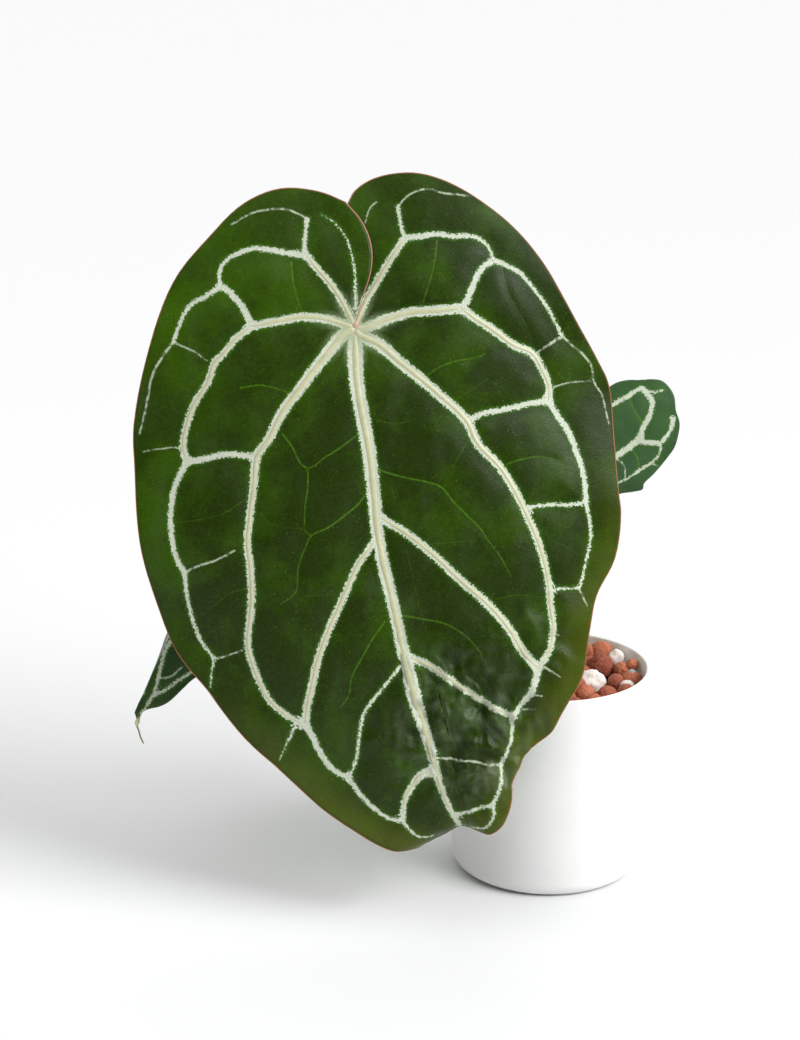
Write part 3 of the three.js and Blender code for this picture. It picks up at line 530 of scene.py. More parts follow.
# On the main blade: the slit over its hub, and the middle of its crumpled stretch, where the painted sheen
# is strongest
HUB_SLIT = [(1.7, 1.2), (4, 7.4), (5.4, 14), (6.6, 20.5)]
CRUMPLE = (68.0, -246.0, 0.0)
LEAF_IOR = 1.42
main_leaf = {
    "name": "main", "turn": 0,
    "margin": [
        (-4.5, 76), (-0.5, 83.5), (11.5, 91.5), (35, 94.5), (55.5, 89), (77, 76.5), (95, 62), (111.5, 43),
        (124, 22.5), (136, 1), (146.5, -17.5), (154, -33), (157, -66.5), (159.5, -98), (161, -111.5),
        (157.5, -139), (146, -162), (141.5, -184.5), (137, -211.5), (127, -229), (118, -245.5),
        (106.5, -254), (99, -266.5), (95, -276), (94.5, -286.5), (89.5, -301), (82, -307), (75.5, -307),
        (71.5, -308), (74, -319), (77, -335), (81, -359), (66, -343), (54, -329), (38, -320), (23.5, -318),
        (14.5, -314.5), (3.5, -308), (-18.5, -293), (-42, -271.5), (-67, -248.5), (-90, -219.5),
        (-109, -195.5), (-120.5, -167), (-130.5, -130.5), (-134, -85.5), (-134.5, -58), (-124, -9.5),
        (-110, 28), (-88.5, 55), (-66.5, 76), (-45, 84.5), (-21.5, 82.5), (-6, 76),
    ],
    "inner_right": [(0, 0), (1.5, 8), (1, 20), (-2, 40), (-4, 60), (-4.5, 76)],
    "inner_left": [(0, 0), (1.2, 6), (4, 16.5), (9, 32.5), (10, 43.5), (8.5, 53.5), (3.5, 64.5), (-6, 76)],
    "half_width": 146, "red_rim": 1, "pale": 0, "bend": (0.07, 0.00047), "arch": 20, "channel": 4,
    "droop": (120, 190, 22), "lobes_back": 10, "lobes_apart": 4, "wave": 2.2, "fold": None,
    "swells": [((112, -255), 20, -9), ((84, -300), 22, 7)],
    # Crumpled stretches: place, reach, size of a fold and its height
    "wrinkles": [((66, -240), 38, 17, 14), ((66, -240), 48, 8, 6), ((108, -185), 34, 18, 4),
                 ((16, -250), 26, 20, 3.6), ((104, -232), 24, 12, 3), ((30, -150), 90, 40, 1.6)],
    "curl": {"at": (43.9, -300.5), "turn": 29, "radius": 12, "most": 100, "full_to": 15, "none_from": 30},
    # Each vein: its band's widths along it, and its route
    "veins": [
        ((10.2, 9.4, 9, 8.2, 7.8, 9.2, 6, 3), [(0, -3.5), (1, -31.5), (5, -55.5), (9, -78.5),
          (11.5, -102), (14.5, -130), (22.5, -165), (30, -198.5), (37, -226.5), (44, -249), (52, -277.5),
          (58, -292), (64.5, -304.5)]),
        ((2.4, 1.6, 1.2, 0.7), [(0.5, 12), (0, 32), (-2, 44), (-5.5, 54.5), (-12.5, 63.5), (-20.5, 69)]),
        ((5.4, 4.8), [(0, 0), (-3.5, 8), (-12.5, 23.5), (-23.5, 36.5), (-29.5, 44)]),
        ((3.4, 2.6), [(-29.5, 44), (-30.5, 49.5), (-29, 66)]),
        ((4.2, 3.6, 2.4), [(-29.5, 44), (-38.5, 45), (-52.5, 47.5), (-62, 48), (-77.5, 41.5), (-82, 34),
          (-81, 25.5)]),
        ((6, 5.4), [(0, 0), (-7, 2.5), (-18, 5.5), (-32, 6.5), (-47, 4), (-62, 1)]),
        ((4.6, 4.2), [(-62, 1), (-68.5, 13.5), (-77.5, 23.5), (-81, 25.5)]),
        ((3.6, 2.4), [(-81, 25.5), (-90, 19.5), (-99.5, 14.5), (-105.5, 4.5), (-110, -8)]),
        ((5, 4.8), [(-62, 1), (-72, -6.5), (-79, -15), (-85, -21), (-88.5, -31.5), (-97, -45),
          (-101, -54.5), (-104.5, -70.5), (-102, -80.5)]),
        ((4.2, 4), [(-102, -80.5), (-92.5, -79), (-78.5, -76), (-63.5, -77), (-59, -77)]),
        ((4.2, 3.6), [(-102, -80.5), (-109.5, -95.5), (-112, -111), (-111.5, -125), (-108.5, -139),
          (-103.5, -148)]),
        ((3, 2.4), [(-103.5, -148), (-102.5, -162), (-98.5, -178.5), (-93.5, -190), (-86, -200)]),
        ((2, 0.8), [(-86, -200), (-87.5, -208), (-88.5, -218)]),
        ((8.6, 7.2, 6, 5, 5.4, 4.6, 4.4), [(0, 0), (-7, -4), (-20, -19.5), (-33.5, -37), (-44.5, -52),
          (-52, -67), (-59, -77), (-61, -93.5), (-63.5, -113.5), (-65, -129), (-63.5, -143),
          (-62.5, -157), (-63, -170.5), (-65, -192), (-61.5, -205), (-56.5, -217.5), (-50.5, -227),
          (-41.5, -234.5), (-31, -240)]),
        ((4.8, 5.4), [(12.5, -128), (2.5, -141.5), (-5.5, -159), (-15, -180), (-22, -198.5),
          (-26.5, -217.5), (-29, -228.5), (-30.5, -239)]),
        ((4.6, 3.6), [(-30.5, -239), (-26.5, -246), (-21, -257.5), (-13.5, -267.5), (-4, -273)]),
        ((3.4, 2.7), [(-4, -273), (3.5, -283.5), (12.5, -292.5), (21, -298), (28.5, -299)]),
        ((2.4, 1.2), [(28.5, -299), (33, -305), (40, -310), (48, -310)]),
        ((3, 0.6), [(-30.5, -239), (-36.5, -241.5), (-39.5, -247), (-46, -261.5)]),
        ((2.2, 2.2), [(27, -204.5), (17, -217), (5.5, -232.5), (2.5, -246), (0.5, -261), (-4, -273)]),
        ((5.4, 3.6), [(45, -268.5), (40, -270.5), (35.5, -276), (30, -286.5), (28.5, -299)]),
        ((5.4, 4.8), [(0, 0), (6, 15.5), (14, 29.5), (22.5, 43.5), (30, 54.5)]),
        ((3, 2.2), [(30, 54.5), (27.5, 63.5), (26, 74)]),
        ((4.5, 3.4, 2), [(30, 54.5), (39, 55.5), (49, 57), (59, 55.5), (66, 56), (74.5, 54.5), (81, 48.5),
          (83.5, 41.5)]),
        ((7, 6.4), [(0, 0), (6, 0), (20, 5.5), (35, 9.5), (49, 10.5), (64, 12)]),
        ((4.4, 4), [(64, 12), (67, 15.5), (72, 28), (77, 36.5), (83.5, 41.5)]),
        ((3.4, 2), [(83.5, 41.5), (90, 39), (99.5, 34), (106.5, 26), (114, 16.5), (119.5, 7.5),
          (125.5, -4)]),
        ((6, 5), [(64, 12), (71.5, 6.5), (83.5, -1), (95, -9.5), (107.5, -15), (112.5, -23),
          (117.5, -34.5), (117, -43.5)]),
        ((4, 3.6), [(117, -43.5), (106.5, -45), (92.5, -48.5), (78.5, -51), (69.5, -55)]),
        ((4.4, 3.4), [(117, -43.5), (124, -54), (130.5, -64), (134.5, -75.5), (138.5, -88.5),
          (140, -105)]),
        ((2.7, 2.4), [(140, -105), (130, -106.5), (118, -106.5), (104.5, -108)]),
        ((2.6, 1.8), [(140, -105), (143, -125), (140.5, -139), (137.5, -152.5), (135.5, -157)]),
        ((1.8, 1.8), [(135.5, -157), (121.5, -157.5)]),
        ((8.6, 6.8, 5.6, 5, 4.2), [(0, 0), (2.5, -3.5), (14, -9.5), (27.5, -21), (40.5, -31.5), (54, -43),
          (67, -55.5), (74, -69.5), (88, -84.5), (98.5, -102), (104.5, -114.5), (111, -130), (116, -148),
          (118, -165.5), (119.5, -182.5), (117.5, -194.5), (110.5, -205.5)]),
        ((5.4, 5.8), [(15.5, -114.5), (29, -122.5), (46.5, -136), (62.5, -151), (81, -167.5),
          (92.5, -181), (102, -196), (110.5, -205.5)]),
        ((4.6, 4.2), [(110.5, -205.5), (107.5, -217.5), (102, -226.5), (95, -234)]),
        ((5.4, 4), [(32.5, -198.5), (46.5, -204.5), (58, -212.5), (72, -221.5), (86, -230), (95, -234)]),
        ((3, 2.6), [(95, -234), (95, -238), (94, -250.5), (89, -265)]),
        ((2.6, 2.4), [(89, -265), (88, -277.5), (83.5, -289)]),
        ((2.4, 2.4), [(83.5, -289), (76, -290.5), (67.5, -294), (62, -295)]),
        ((2.4, 1.4), [(83.5, -289), (84, -296), (80, -302.5), (72.5, -305)]),
    ],
    # Thin veins, whitish and broken where they near the margin
    "fine_veins": [
        ((1.4, 1), [(-29, 66), (-34, 69), (-43, 72), (-54, 71.5), (-62.5, 69.5), (-75, 62.5)]),
        ((1.8, 1.2), [(-110, -8), (-116.5, -16.5), (-123.5, -29.5), (-125.5, -40.5), (-128, -51.5),
          (-131, -63)]),
        ((1.4, 0.8), [(-110, -8), (-105, -10.5), (-97, -14), (-89.5, -19.5)]),
        ((1.2, 0.6), [(-102, -80.5), (-107, -72.5), (-118.5, -72.5), (-129, -74)]),
        ((1.6, 1.2), [(-103.5, -148), (-96.5, -144), (-84, -140), (-72.5, -134)]),
        ((1.4, 1), [(-86, -200), (-80.5, -199), (-68.5, -194.5)]),
        ((1.2, 1.2), [(26, 74), (31.5, 80), (40.5, 84), (46.5, 84), (53, 82), (63, 81), (69.5, 80)]),
        ((1.2, 0.8), [(13, 77), (9, 73), (6, 63.5)]),
        ((1.6, 1), [(125.5, -4), (132, -10), (138.5, -15.5), (143.5, -22.5), (145, -31.5), (150, -39.5),
          (152.5, -50.5), (154, -57)]),
        ((2, 1.2), [(125.5, -4), (118, -9), (110, -14.5)]),
        ((1.2, 0.6), [(119.5, -35.5), (128, -32.5), (142, -31)]),
        ((1.8, 1.2), [(89, -265), (80, -264.5), (71, -262), (61, -261), (49.5, -259.5)]),
        ((1.4, 0.8), [(135.5, -157), (139.5, -165.5), (141, -168.5)]),
        ((1.2, 0.5), [(118.5, -184.5), (123.5, -185.5)]),
        ((1.6, 0.6), [(114.5, -204.5), (119, -207.5), (124, -210.5)]),
        ((1.2, 0.5), [(107.5, -221), (113, -222)]),
        ((1.4, 0.6), [(98, -232.5), (108.5, -230)]),
    ],
    # The finest veins, only a brighter green
    "green_veins": [
        ((0.9, 0.6), [(-69, -36), (-57, -34.5), (-45.5, -37), (-39, -39.5)]),
        ((0.9, 0.6), [(-43.5, -64), (-38, -71.5), (-32.5, -82), (-29, -85), (-28.5, -97), (-30, -107.5),
          (-29.5, -123), (-26, -125)]),
        ((0.9, 0.6), [(0, -65.5), (-11.5, -74), (-18, -78), (-24.5, -83), (-29, -85)]),
        ((1.1, 0.7, 0.6), [(6.5, -100.5), (1, -107), (-7.5, -114), (-16.5, -120.5), (-26, -125),
          (-29.5, -131.5), (-34, -143.5), (-35.5, -159), (-39, -162.5), (-45, -166.5)]),
        ((0.4, 0.3), [(-30.5, -161.5), (-21, -161), (-9.5, -160.5)]),
        ((0.4, 0.3), [(-59, -110), (-50, -118), (-38.5, -120.5), (-29.5, -121)]),
        ((0.9, 0.6), [(40.5, -30.5), (50.5, -24), (60.5, -20), (72, -18), (78.5, -15.5)]),
        ((0.5, 0.3), [(57.5, -44.5), (67, -39.5), (73.5, -35), (80, -30.5)]),
        ((1.2, 0.8, 0.9, 0.7, 0.6), [(13, -85), (20.5, -87.5), (32, -90.5), (44, -93), (52, -96),
          (59, -104.5), (68.5, -114), (76, -121.5), (80, -128), (87, -137), (91.5, -145), (94, -150)]),
        ((0.5, 0.3), [(68.5, -67), (60, -82), (55.5, -92)]),
        ((0.8, 0.5), [(89, -83), (99, -79.5), (111.5, -77.5), (123.5, -80)]),
        ((0.5, 0.3), [(13, -55.5), (23.5, -57.5), (33.5, -56)]),
        ((0.9, 0.6), [(27.5, -173), (41.5, -175.5), (54, -178), (65.5, -184.5), (72, -191),
          (77, -197.5)]),
        ((0.9, 0.6), [(18, -177), (10.5, -187.5), (4, -199), (-2, -210.5), (-4, -222), (-9, -229)]),
        ((0.5, 0.3), [(85, -163.5), (96.5, -161), (114.5, -162.5)]),
        ((0.5, 0.3), [(46.5, -130), (73.5, -128)]),
        ((0.9, 0.6), [(49.5, 53), (47, 35), (41, 15.5)]),
        ((0.9, 0.6), [(-38.5, 40), (-37, 27), (-32, 9.5)]),
        ((0.5, 0.3), [(-62, -100), (-80, -112), (-110, -118)]),
        ((0.5, 0.3), [(97, -102), (112, -122), (138, -138)]),
        ((0.5, 0.3), [(-64, -157), (-76, -160), (-88, -170), (-99, -176)]),
        ((0.5, 0.3), [(88, 40), (92, 22), (104, 0), (108, -14)]),
    ],
}
rear_left_leaf = {
    "name": "rear_left", "turn": 25,
    "margin": [
        (2, 42), (8, 50), (20, 56), (36, 54), (52, 44), (66, 24), (74, 0), (76, -26), (72, -54), (62, -82),
        (47, -106), (33, -122), (22, -135), (18, -144.5), (13.5, -155.5), (9, -161), (4.5, -164.5),
        (1.5, -168), (0.9, -173), (0, -176), (-1.5, -173), (-9, -168), (-17, -163), (-19, -156),
        (-22, -146), (-30, -132), (-41, -114), (-57, -86), (-68, -56), (-73, -28), (-71, -2), (-64, 22),
        (-51, 41), (-35, 51), (-20, 53), (-9, 48), (-4, 42),
    ],
    "inner_right": [(0, 0), (0.8, 6), (1.6, 20), (2, 42)],
    "inner_left": [(0, 0), (-0.8, 6), (-3, 20), (-4, 42)],
    "half_width": 76, "red_rim": 0.3, "pale": 0.25, "bend": (0, 0), "arch": 9, "channel": 2,
    "droop": (40, 120, 6), "lobes_back": 6, "lobes_apart": 0, "wave": 1.6,
    "fold": {"at_hub": 35, "from": 0, "to": 105, "by": 79},
    "swells": [], "wrinkles": [((0, -60), 60, 14, 1.2)], "curl": None,
    "veins": [
        ((6, 4.6, 3.4, 2), [(0, 0), (0, -60), (-1, -117), (-2.5, -126), (-1, -133.5), (0.5, -142),
          (2.5, -151.5), (2, -162), (0.5, -172)]),
        ((3.4, 3, 2.4), [(0, 0), (10, 22), (32, 36), (54, 20), (58, -10)]),
        ((4.4, 3.6, 3, 2.2), [(0, 0), (30, 2), (58, -10), (60, -48), (50, -82), (30, -115),
          (18.5, -132.5), (13, -141), (9, -148.5), (3.5, -155.5)]),
        ((3.8, 3), [(0, -4), (28, -36), (50, -82)]),
        ((3.4, 3, 2.4), [(0, 0), (-10, 22), (-32, 34), (-52, 18), (-56, -12)]),
        ((4.4, 3.6, 3, 2.2), [(0, 0), (-30, 0), (-56, -12), (-57, -48), (-46, -82), (-20, -130),
          (-4, -157)]),
        ((3.8, 3), [(0, -4), (-28, -38), (-46, -82)]),
        ((3, 2.4), [(0, -52), (-20, -88), (-33, -106)]),
    ],
    "fine_veins": [((1.4, 1), [(2, -144), (8, -140), (12, -131)]),
                   ((1.2, 1), [(5, -100), (20, -112), (33, -116)])],
    "green_veins": [((1.4, 1), [(30, -40), (45, -50), (60, -52)]),
                    ((1.4, 1), [(-30, -40), (-45, -50), (-57, -52)])],
}
rear_right_leaf = {
    "name": "rear_right", "turn": 55,
    "margin": [
        (-3, 57), (0, 62.5), (5, 68), (10.5, 69.5), (17.5, 69), (26, 64.5), (34, 62), (39.5, 57.5),
        (45.5, 50), (48.5, 42), (52, 29.5), (53.5, 20.5), (56, 17.5), (54, 12), (49.5, 2), (50, -12),
        (48, -32), (43, -54), (34, -76), (23, -95), (12, -111), (5, -123), (1.5, -133), (0, -141),
        (-1.5, -133), (-5, -123), (-13, -110), (-25, -94), (-37, -74), (-46, -52), (-52, -30),
        (-54, -8), (-51, 6), (-45, 17), (-36, 25), (-25, 30), (-15, 33), (-8, 33),
    ],
    "inner_right": [(0, 0), (0.5, 8), (-1, 14), (-6, 22), (-10.5, 32), (-11, 42), (-8, 50), (-3, 57)],
    "inner_left": [(0, 0), (-0.8, 6), (-4, 20), (-8, 33)],
    "half_width": 54, "red_rim": 0, "pale": 0.45, "bend": (0, 0), "arch": 7, "channel": 2,
    "droop": (40, 100, 8), "lobes_back": 5, "lobes_apart": 0, "wave": 1.4,
    "fold": {"at_hub": 48, "from": 0, "to": 60, "by": 62},
    "swells": [((52, 4), 12, -5)], "wrinkles": [((30, 20), 40, 12, 1.2)], "curl": None,
    "veins": [
        ((5, 4, 3, 1.6), [(0, 0), (0, -60), (0, -110), (0, -134)]),
        ((3.6, 3.2), [(0, 0), (-1, 16), (-0.5, 32), (0.5, 44), (1.5, 54.5), (4.5, 55.5)]),
        ((2, 1), [(4.5, 55.5), (9, 60.5), (10.5, 66.5)]),
        ((3.6, 4.2), [(4.5, 55.5), (13.5, 54.5), (19.5, 47.5), (23, 41), (28, 33)]),
        ((4.6, 4.4), [(0, 0), (16, 4), (27, 12), (28.5, 24.5), (28, 33)]),
        ((3.8, 3), [(28, 33), (32.5, 37), (37.5, 44.5), (36.5, 50), (33.5, 56), (29.5, 59.5)]),
        ((1.6, 2.4), [(37.5, 44.5), (43.5, 39.5), (45, 32), (44.5, 21.5)]),
        ((1.4, 3.4, 2.6, 2), [(44.5, 21.5), (44.5, 13.5), (43, 6.5), (38, -14), (36, -44), (22, -80),
          (3, -116)]),
        ((3.6, 2.6), [(0, 0), (22, -14), (36, -44)]),
        ((3, 2.2), [(0, -40), (14, -64), (22, -80)]),
        ((3, 2.2), [(0, 0), (-14, 18), (-34, 14), (-42, -8), (-38, -44), (-24, -80), (-3, -116)]),
        ((3.4, 2.4), [(0, 0), (-24, -12), (-38, -44)]),
        ((3, 2.2), [(0, -40), (-14, -62), (-24, -80)]),
    ],
    "fine_veins": [((1.4, 1), [(28, 14), (36, 16), (44, 12)]), ((1.2, 0.8), [(45, 32), (49, 34)])],
    "green_veins": [((1.2, 1), [(2, 44), (12, 42), (22, 42)]), ((1.2, 1), [(29, 26), (38, 26), (44, 22)])],
}


def ease(x, low, high):
    t = max(0, min(1, (x - low) / (high - low)))
    return t * t * (3 - 2 * t)


def curled(curl, a, b, c):
    """Bends the last stretch of the blade back round a cylinder that lies across its tip."""
    along = math.radians(curl["turn"])
    from_a, from_b = a - curl["at"][0], b - curl["at"][1]
    across = from_a * math.cos(along) + from_b * math.sin(along)
    past = from_a * math.sin(along) - from_b * math.cos(along)
    if past <= 0:
        return Vector((a, b, c))
    radius = curl["radius"] / (1 - 0.97 * ease(across, curl["full_to"], curl["none_from"]))
    angle = min(past / radius, math.radians(curl["most"]))
    rest = past - angle * radius
    reach = radius * math.sin(angle) + rest * math.cos(angle)
    sink = radius * (1 - math.cos(angle)) + rest * math.sin(angle)
    return Vector((
        curl["at"][0] + across * math.cos(along) + reach * math.sin(along),
        curl["at"][1] + across * math.sin(along) - reach * math.cos(along),
        c - sink,
    ))


def seat(leaf, a, b, on_left):
    """Seats a flat point of a blade in space, in the leaf's own frame, c towards the viewer."""
    half_width = leaf["half_width"]
    down = max(0, -b)
    off = a - leaf["bend"][0] * down - leaf["bend"][1] * down * down
    out = off / half_width
    droop_from, droop_over, droop_by = leaf["droop"]
    c = leaf["channel"] * (1 - math.exp(-((off / (CHANNEL_SHARE * half_width)) ** 2)))
    c -= leaf["arch"] * out * out
    c -= droop_by * (max(0, down - droop_from) / droop_over) ** 2
    c -= leaf["lobes_back"] * max(0, (b - LOBES_FROM) / LOBES_OVER) ** 2
    c += leaf["wave"] * out * out * math.sin(WAVE_TURN * b / half_width + WAVE_PHASES[on_left])
    near_sinus = ease(b, OVERLAP_FROM, OVERLAP_FULL)
    apart = leaf["lobes_apart"] * near_sinus * math.exp(-((a / OVERLAP_WIDTH) ** 2))
    c += apart if on_left else -apart
    for (at_a, at_b), reach, by in leaf["swells"]:
        far = math.hypot(a - at_a, b - at_b) / reach
        c += by * math.exp(-far * far)
    side = a
    fold = leaf["fold"]
    if on_left and fold:
        full = fold["at_hub"] + (fold["by"] - fold["at_hub"]) * ease(down, fold["from"], fold["to"])
        angle = math.radians(full) * ease(-off, 0, CREASE_SHARE * half_width)
        side = a - off + off * math.cos(angle)
        c = c * math.cos(angle) + off * math.sin(angle)
    return curled(leaf["curl"], side, b, c) if leaf["curl"] else Vector((side, b, c))


def seated(leaf, a, b, on_left, raised):
    """The seated point, moved along the blade's own normal, and that normal."""
    along_a = seat(leaf, a + 0.5, b, on_left) - seat(leaf, a - 0.5, b, on_left)
    along_b = seat(leaf, a, b + 0.5, on_left) - seat(leaf, a, b - 0.5, on_left)
    normal = along_a.cross(along_b).normalized()
    return seat(leaf, a, b, on_left) + normal * raised, normal


def flat_path(route, step):
    """Points along a smooth flat route, a step in millimetres apart."""
    rough = smooth_path([(a, b, 0) for a, b in route], 12 * (len(route) - 1))
    far = [0]
    for near, after in zip(rough, rough[1:]):
        far.append(far[-1] + (after - near).length)
    count = max(2, round(far[-1] / step))
    path, k = [], 0
    for i in range(count + 1):
        want = far[-1] * i / count
        while k < len(far) - 2 and far[k + 1] < want:
            k += 1
        share = (want - far[k]) / max(1e-6, far[k + 1] - far[k])
        path.append(rough[k].lerp(rough[k + 1], share))
    return path


def width_at(widths, share):
    k = min(int(share * (len(widths) - 1)), len(widths) - 2)
    t = share * (len(widths) - 1) - k
    return widths[k] * (1 - t) + widths[k + 1] * t


def vein_map(veins, flare=0):
    """A search tree of places along the veins, with each place's direction and half width."""
    places = []
    for widths, route in veins:
        path = flat_path(route, step=0.8)
        for i, at in enumerate(path):
            ahead = (path[min(i + 1, len(path) - 1)] - path[max(i - 1, 0)]).normalized()
            is_end = i in (0, len(path) - 1)
            half = width_at(widths, i / (len(path) - 1)) / 2
            to_end = 0.8 * min(i, len(path) - 1 - i)
            half += flare * min(half, 2) * math.exp(-to_end / 1.8)
            places.append((at, Vector((0, 0, 0)) if is_end else ahead, half))
    tree = kdtree.KDTree(len(places))
    for i, (at, ahead, half) in enumerate(places):
        tree.insert(at, i)
    tree.balance()
    return tree, places


def nearest_vein(tree, places, at):
    found, i, far = tree.find(at)
    spot, ahead, half = places[i]
    across = at - spot
    across -= ahead * across.dot(ahead)
    return Vector((across.x, across.y, far)), half


def spoke_place(leaf):
    """The flat place at share u round the blade, clockwise, and share v of the way out."""
    margin = leaf["margin"]
    rim_path = smooth_path([(a, b, 0) for a, b in margin], 24 * (len(margin) - 1))
    inner_right, inner_left = (flat_path(leaf[side], step=0.5) for side in ("inner_right", "inner_left"))

    def along(path, share):
        s = share * (len(path) - 1)
        k = min(int(s), len(path) - 2)
        return path[k].lerp(path[k + 1], s - k)

    def at(u, v):
        flat = along(rim_path, u) * v
        for path, from_sinus in ((inner_right, u), (inner_left, 1 - u)):
            near = max(0, 1 - from_sinus / SINUS_SHARE)
            flat += (along(path, v) - path[-1] * v) * near ** 2
        return flat

    return at


def blade_material(name, panel_dark, panel_bright, olive, vein_white):
    """Leaf tissue: velvety panels between bands of crystalline white cells, over fine cells."""
    skin, shader = new_material(name)
    carried = {layer: add_node(skin, "Attribute", {}, "Vector", attribute_name=layer)
               for layer in ("flat", "band", "fine", "green", "span", "rim")}
    flat = carried["flat"]
    halves = add_node(skin, "SeparateXYZ", {0: carried["span"]}).node.outputs
    to_rim, reddish, paled = add_node(skin, "SeparateXYZ", {0: carried["rim"]}).node.outputs
    hub_far = add_node(skin, "VectorMath", {0: flat}, "Value", operation="LENGTH")
    crumple_far = add_node(skin, "VectorMath", {0: flat, 1: CRUMPLE}, "Value", operation="DISTANCE")
    low_right = add_node(skin, "VectorMath", {0: flat, 1: (-0.6, 1.0, 0.0)}, "Value",
                         operation="DOT_PRODUCT")
    up_left = add_node(skin, "VectorMath", {0: flat, 1: (-0.004, 0.0035, 0.0)}, "Value",
                       operation="DOT_PRODUCT")

    # Cloudy patterns: how many of their grains lie in a millimetre, their detail and roughness
    clouds = {"feather": (0.8, 4.0, 0.7), "breaks": (0.28, 3.0, 0.5), "regions": (0.022, 3.0, 0.55),
              "mottle": (0.35, 5.0, 0.7), "gloss": (0.05, 3.0, 0.5), "painted_sheen": (0.06, 5.0, 0.65)}
    cloud = {}
    for pattern, (scale, detail, roughness) in clouds.items():
        cloud[pattern] = add_node(skin, "TexNoise", {"Vector": flat, "Scale": scale, "Detail": detail,
                                                     "Roughness": roughness})
    cloud["painted_sheen"].node.inputs["Distortion"].default_value = 0.3
    # Stretched clouds lay the streaks of the painted sheen
    sheen_streaks = add_node(skin, "Mapping", {"Vector": flat, "Rotation": (0, 0, 0.25),
                                         "Scale": (0.05, 0.018, 1.0)})
    cloud["sheen_streaks"] = add_node(skin, "TexNoise", {"Vector": sheen_streaks, "Scale": 1.0, "Detail": 4.0})
    # Cells, each with its own draw: white tufts, tiny tissue cells, specks 0.5 mm wide and glitter
    cells, draws = {}, {}
    for pattern, scale in {"tuft": 1.25, "tiny": 1.9, "speck": 0.6, "glitter": 2.0}.items():
        cells[pattern] = add_node(skin, "TexVoronoi", {"Vector": flat, "Scale": scale})
        drawn_colour = cells[pattern].node.outputs["Color"]
        draws[pattern] = add_node(skin, "SeparateColor", {0: drawn_colour}).node.outputs
    cell_walls = add_node(skin, "TexVoronoi", {"Vector": flat, "Scale": 0.75}, feature="DISTANCE_TO_EDGE")

    # How far past a vein's edge a point is: by the arrow near it, by the plain distance further off
    past = {}
    for layer, half in zip(("band", "fine", "green"), halves):
        arrow = add_node(skin, "SeparateXYZ", {0: carried[layer]}).node.outputs
        level = add_node(skin, "CombineXYZ", {0: arrow[0], 1: arrow[1]})
        near = add_node(skin, "VectorMath", {0: level}, "Value", operation="LENGTH")
        is_off = add_node(skin, "Math", {0: arrow[2], 1: 3.0}, operation="GREATER_THAN")
        further = add_node(skin, "Math", {0: arrow[2], 1: near}, operation="SUBTRACT")
        far = add_node(skin, "Math", {0: is_off, 1: further, 2: near}, operation="MULTIPLY_ADD")
        past[layer] = add_node(skin, "Math", {0: far, 1: half}, operation="SUBTRACT")
    # The bands' edges are feathered where white cells and green ones meet, 1 to 2 mm deep
    uneven = add_node(skin, "Math", {0: cloud["feather"], 1: 2.4, 2: -1.531}, operation="MULTIPLY_ADD")
    ragged = add_node(skin, "Math", {0: draws["tuft"][2], 1: 1.25, 2: uneven}, operation="MULTIPLY_ADD")
    band_far = add_node(skin, "Math", {0: past["band"], 1: ragged})
    fine_far = add_node(skin, "Math", {0: ragged, 1: 0.35, 2: past["fine"]}, operation="MULTIPLY_ADD")

    # Smooth steps: what is measured, where the step begins and ends, and the share at each end
    steps = {
        "band": (band_far, -0.2, 0.15, 1.0, 0.0),
        "fringe": (band_far, 0.0, 2.2, 1.0, 0.0),
        "haze": (band_far, 0.0, 4.5, 0.75, 0.0),
        "fine": (fine_far, -0.5, 0.5, 0.85, 0.0),
        "unbroken": (cloud["breaks"], 0.42, 0.52, 0.25, 1.0),
        "green": (past["green"], -0.35, 0.45, 1.0, 0.0),
        "green_width": (halves[2], 0.1, 0.45, 0.25, 1.0),
        "green_shown": (cloud["mottle"], 0.35, 0.6, 0.25, 0.75),
        "bright": (cloud["regions"], 0.38, 0.66, -0.05, 0.6),
        "cell_wall": (cell_walls, 0.02, 0.2, 0.4, 0.0),
        "speck": (cells["speck"], 0.06, 0.14, 0.75, 0.0),
        "near_rim": (to_rim, 0.0, 26.0, 1.0, 0.0),
        "low_right": (low_right, -130.0, -300.0, 0.0, 0.42),
        # The painted sheen: its streaks, its stretch round the crumpled place, and its patches
        "sheen_streaks": (cloud["sheen_streaks"], 0.5, 0.8, 0.0, 0.1),
        "crumpled": (crumple_far, 22.0, 62.0, 0.5, 0.0),
        "painted_sheen": (cloud["painted_sheen"], 0.42, 0.72, 0.0, 1.0),
        "hub_haze": (hub_far, 5.0, 30.0, 1.0, 0.0),
        "hub_green": (hub_far, 3.0, 20.0, 0.6, 0.0),
        "hub_tan": (hub_far, 1.5, 6.0, 0.7, 0.0),
        "red_line": (to_rim, 0.1, 0.7, 0.8, 0.0),
        "gloss": (cloud["gloss"], 0.35, 0.7, -0.05, 0.1),
    }
    share = {step: add_node(skin, "MapRange", dict(enumerate(limits)), interpolation_type="SMOOTHSTEP")
             for step, limits in steps.items()}

    # Panels: dark, brighter towards the left and the upper margin
    lit_side = add_node(skin, "MapRange", {0: up_left, 1: -0.3, 2: 0.9, 3: -0.6, 4: 0.3})
    lit = add_node(skin, "Math", {0: share["bright"], 1: lit_side})
    bright = add_node(skin, "Math", {0: cloud["mottle"], 1: 0.9, 2: lit}, operation="MULTIPLY_ADD",
                      use_clamp=True)
    panel = add_node(skin, "Mix", {0: bright, 6: srgb(panel_dark), 7: srgb(panel_bright)}, 2,
                     data_type="RGBA")
    speck_draw = add_node(skin, "Math", {0: draws["speck"][1], 1: cloud["regions"]})
    is_speck = add_node(skin, "Math", {0: speck_draw, 1: 1.3}, operation="GREATER_THAN")
    green_vein = add_node(skin, "Math", {0: share["green"], 1: share["green_width"]}, operation="MULTIPLY")
    # A greyish painted sheen lies in streaks, and most of all where the blade is crumpled
    painted_sheen = add_node(skin, "Math", {0: share["crumpled"], 1: share["painted_sheen"], 2: share["sheen_streaks"]},
                     operation="MULTIPLY_ADD", use_clamp=True)
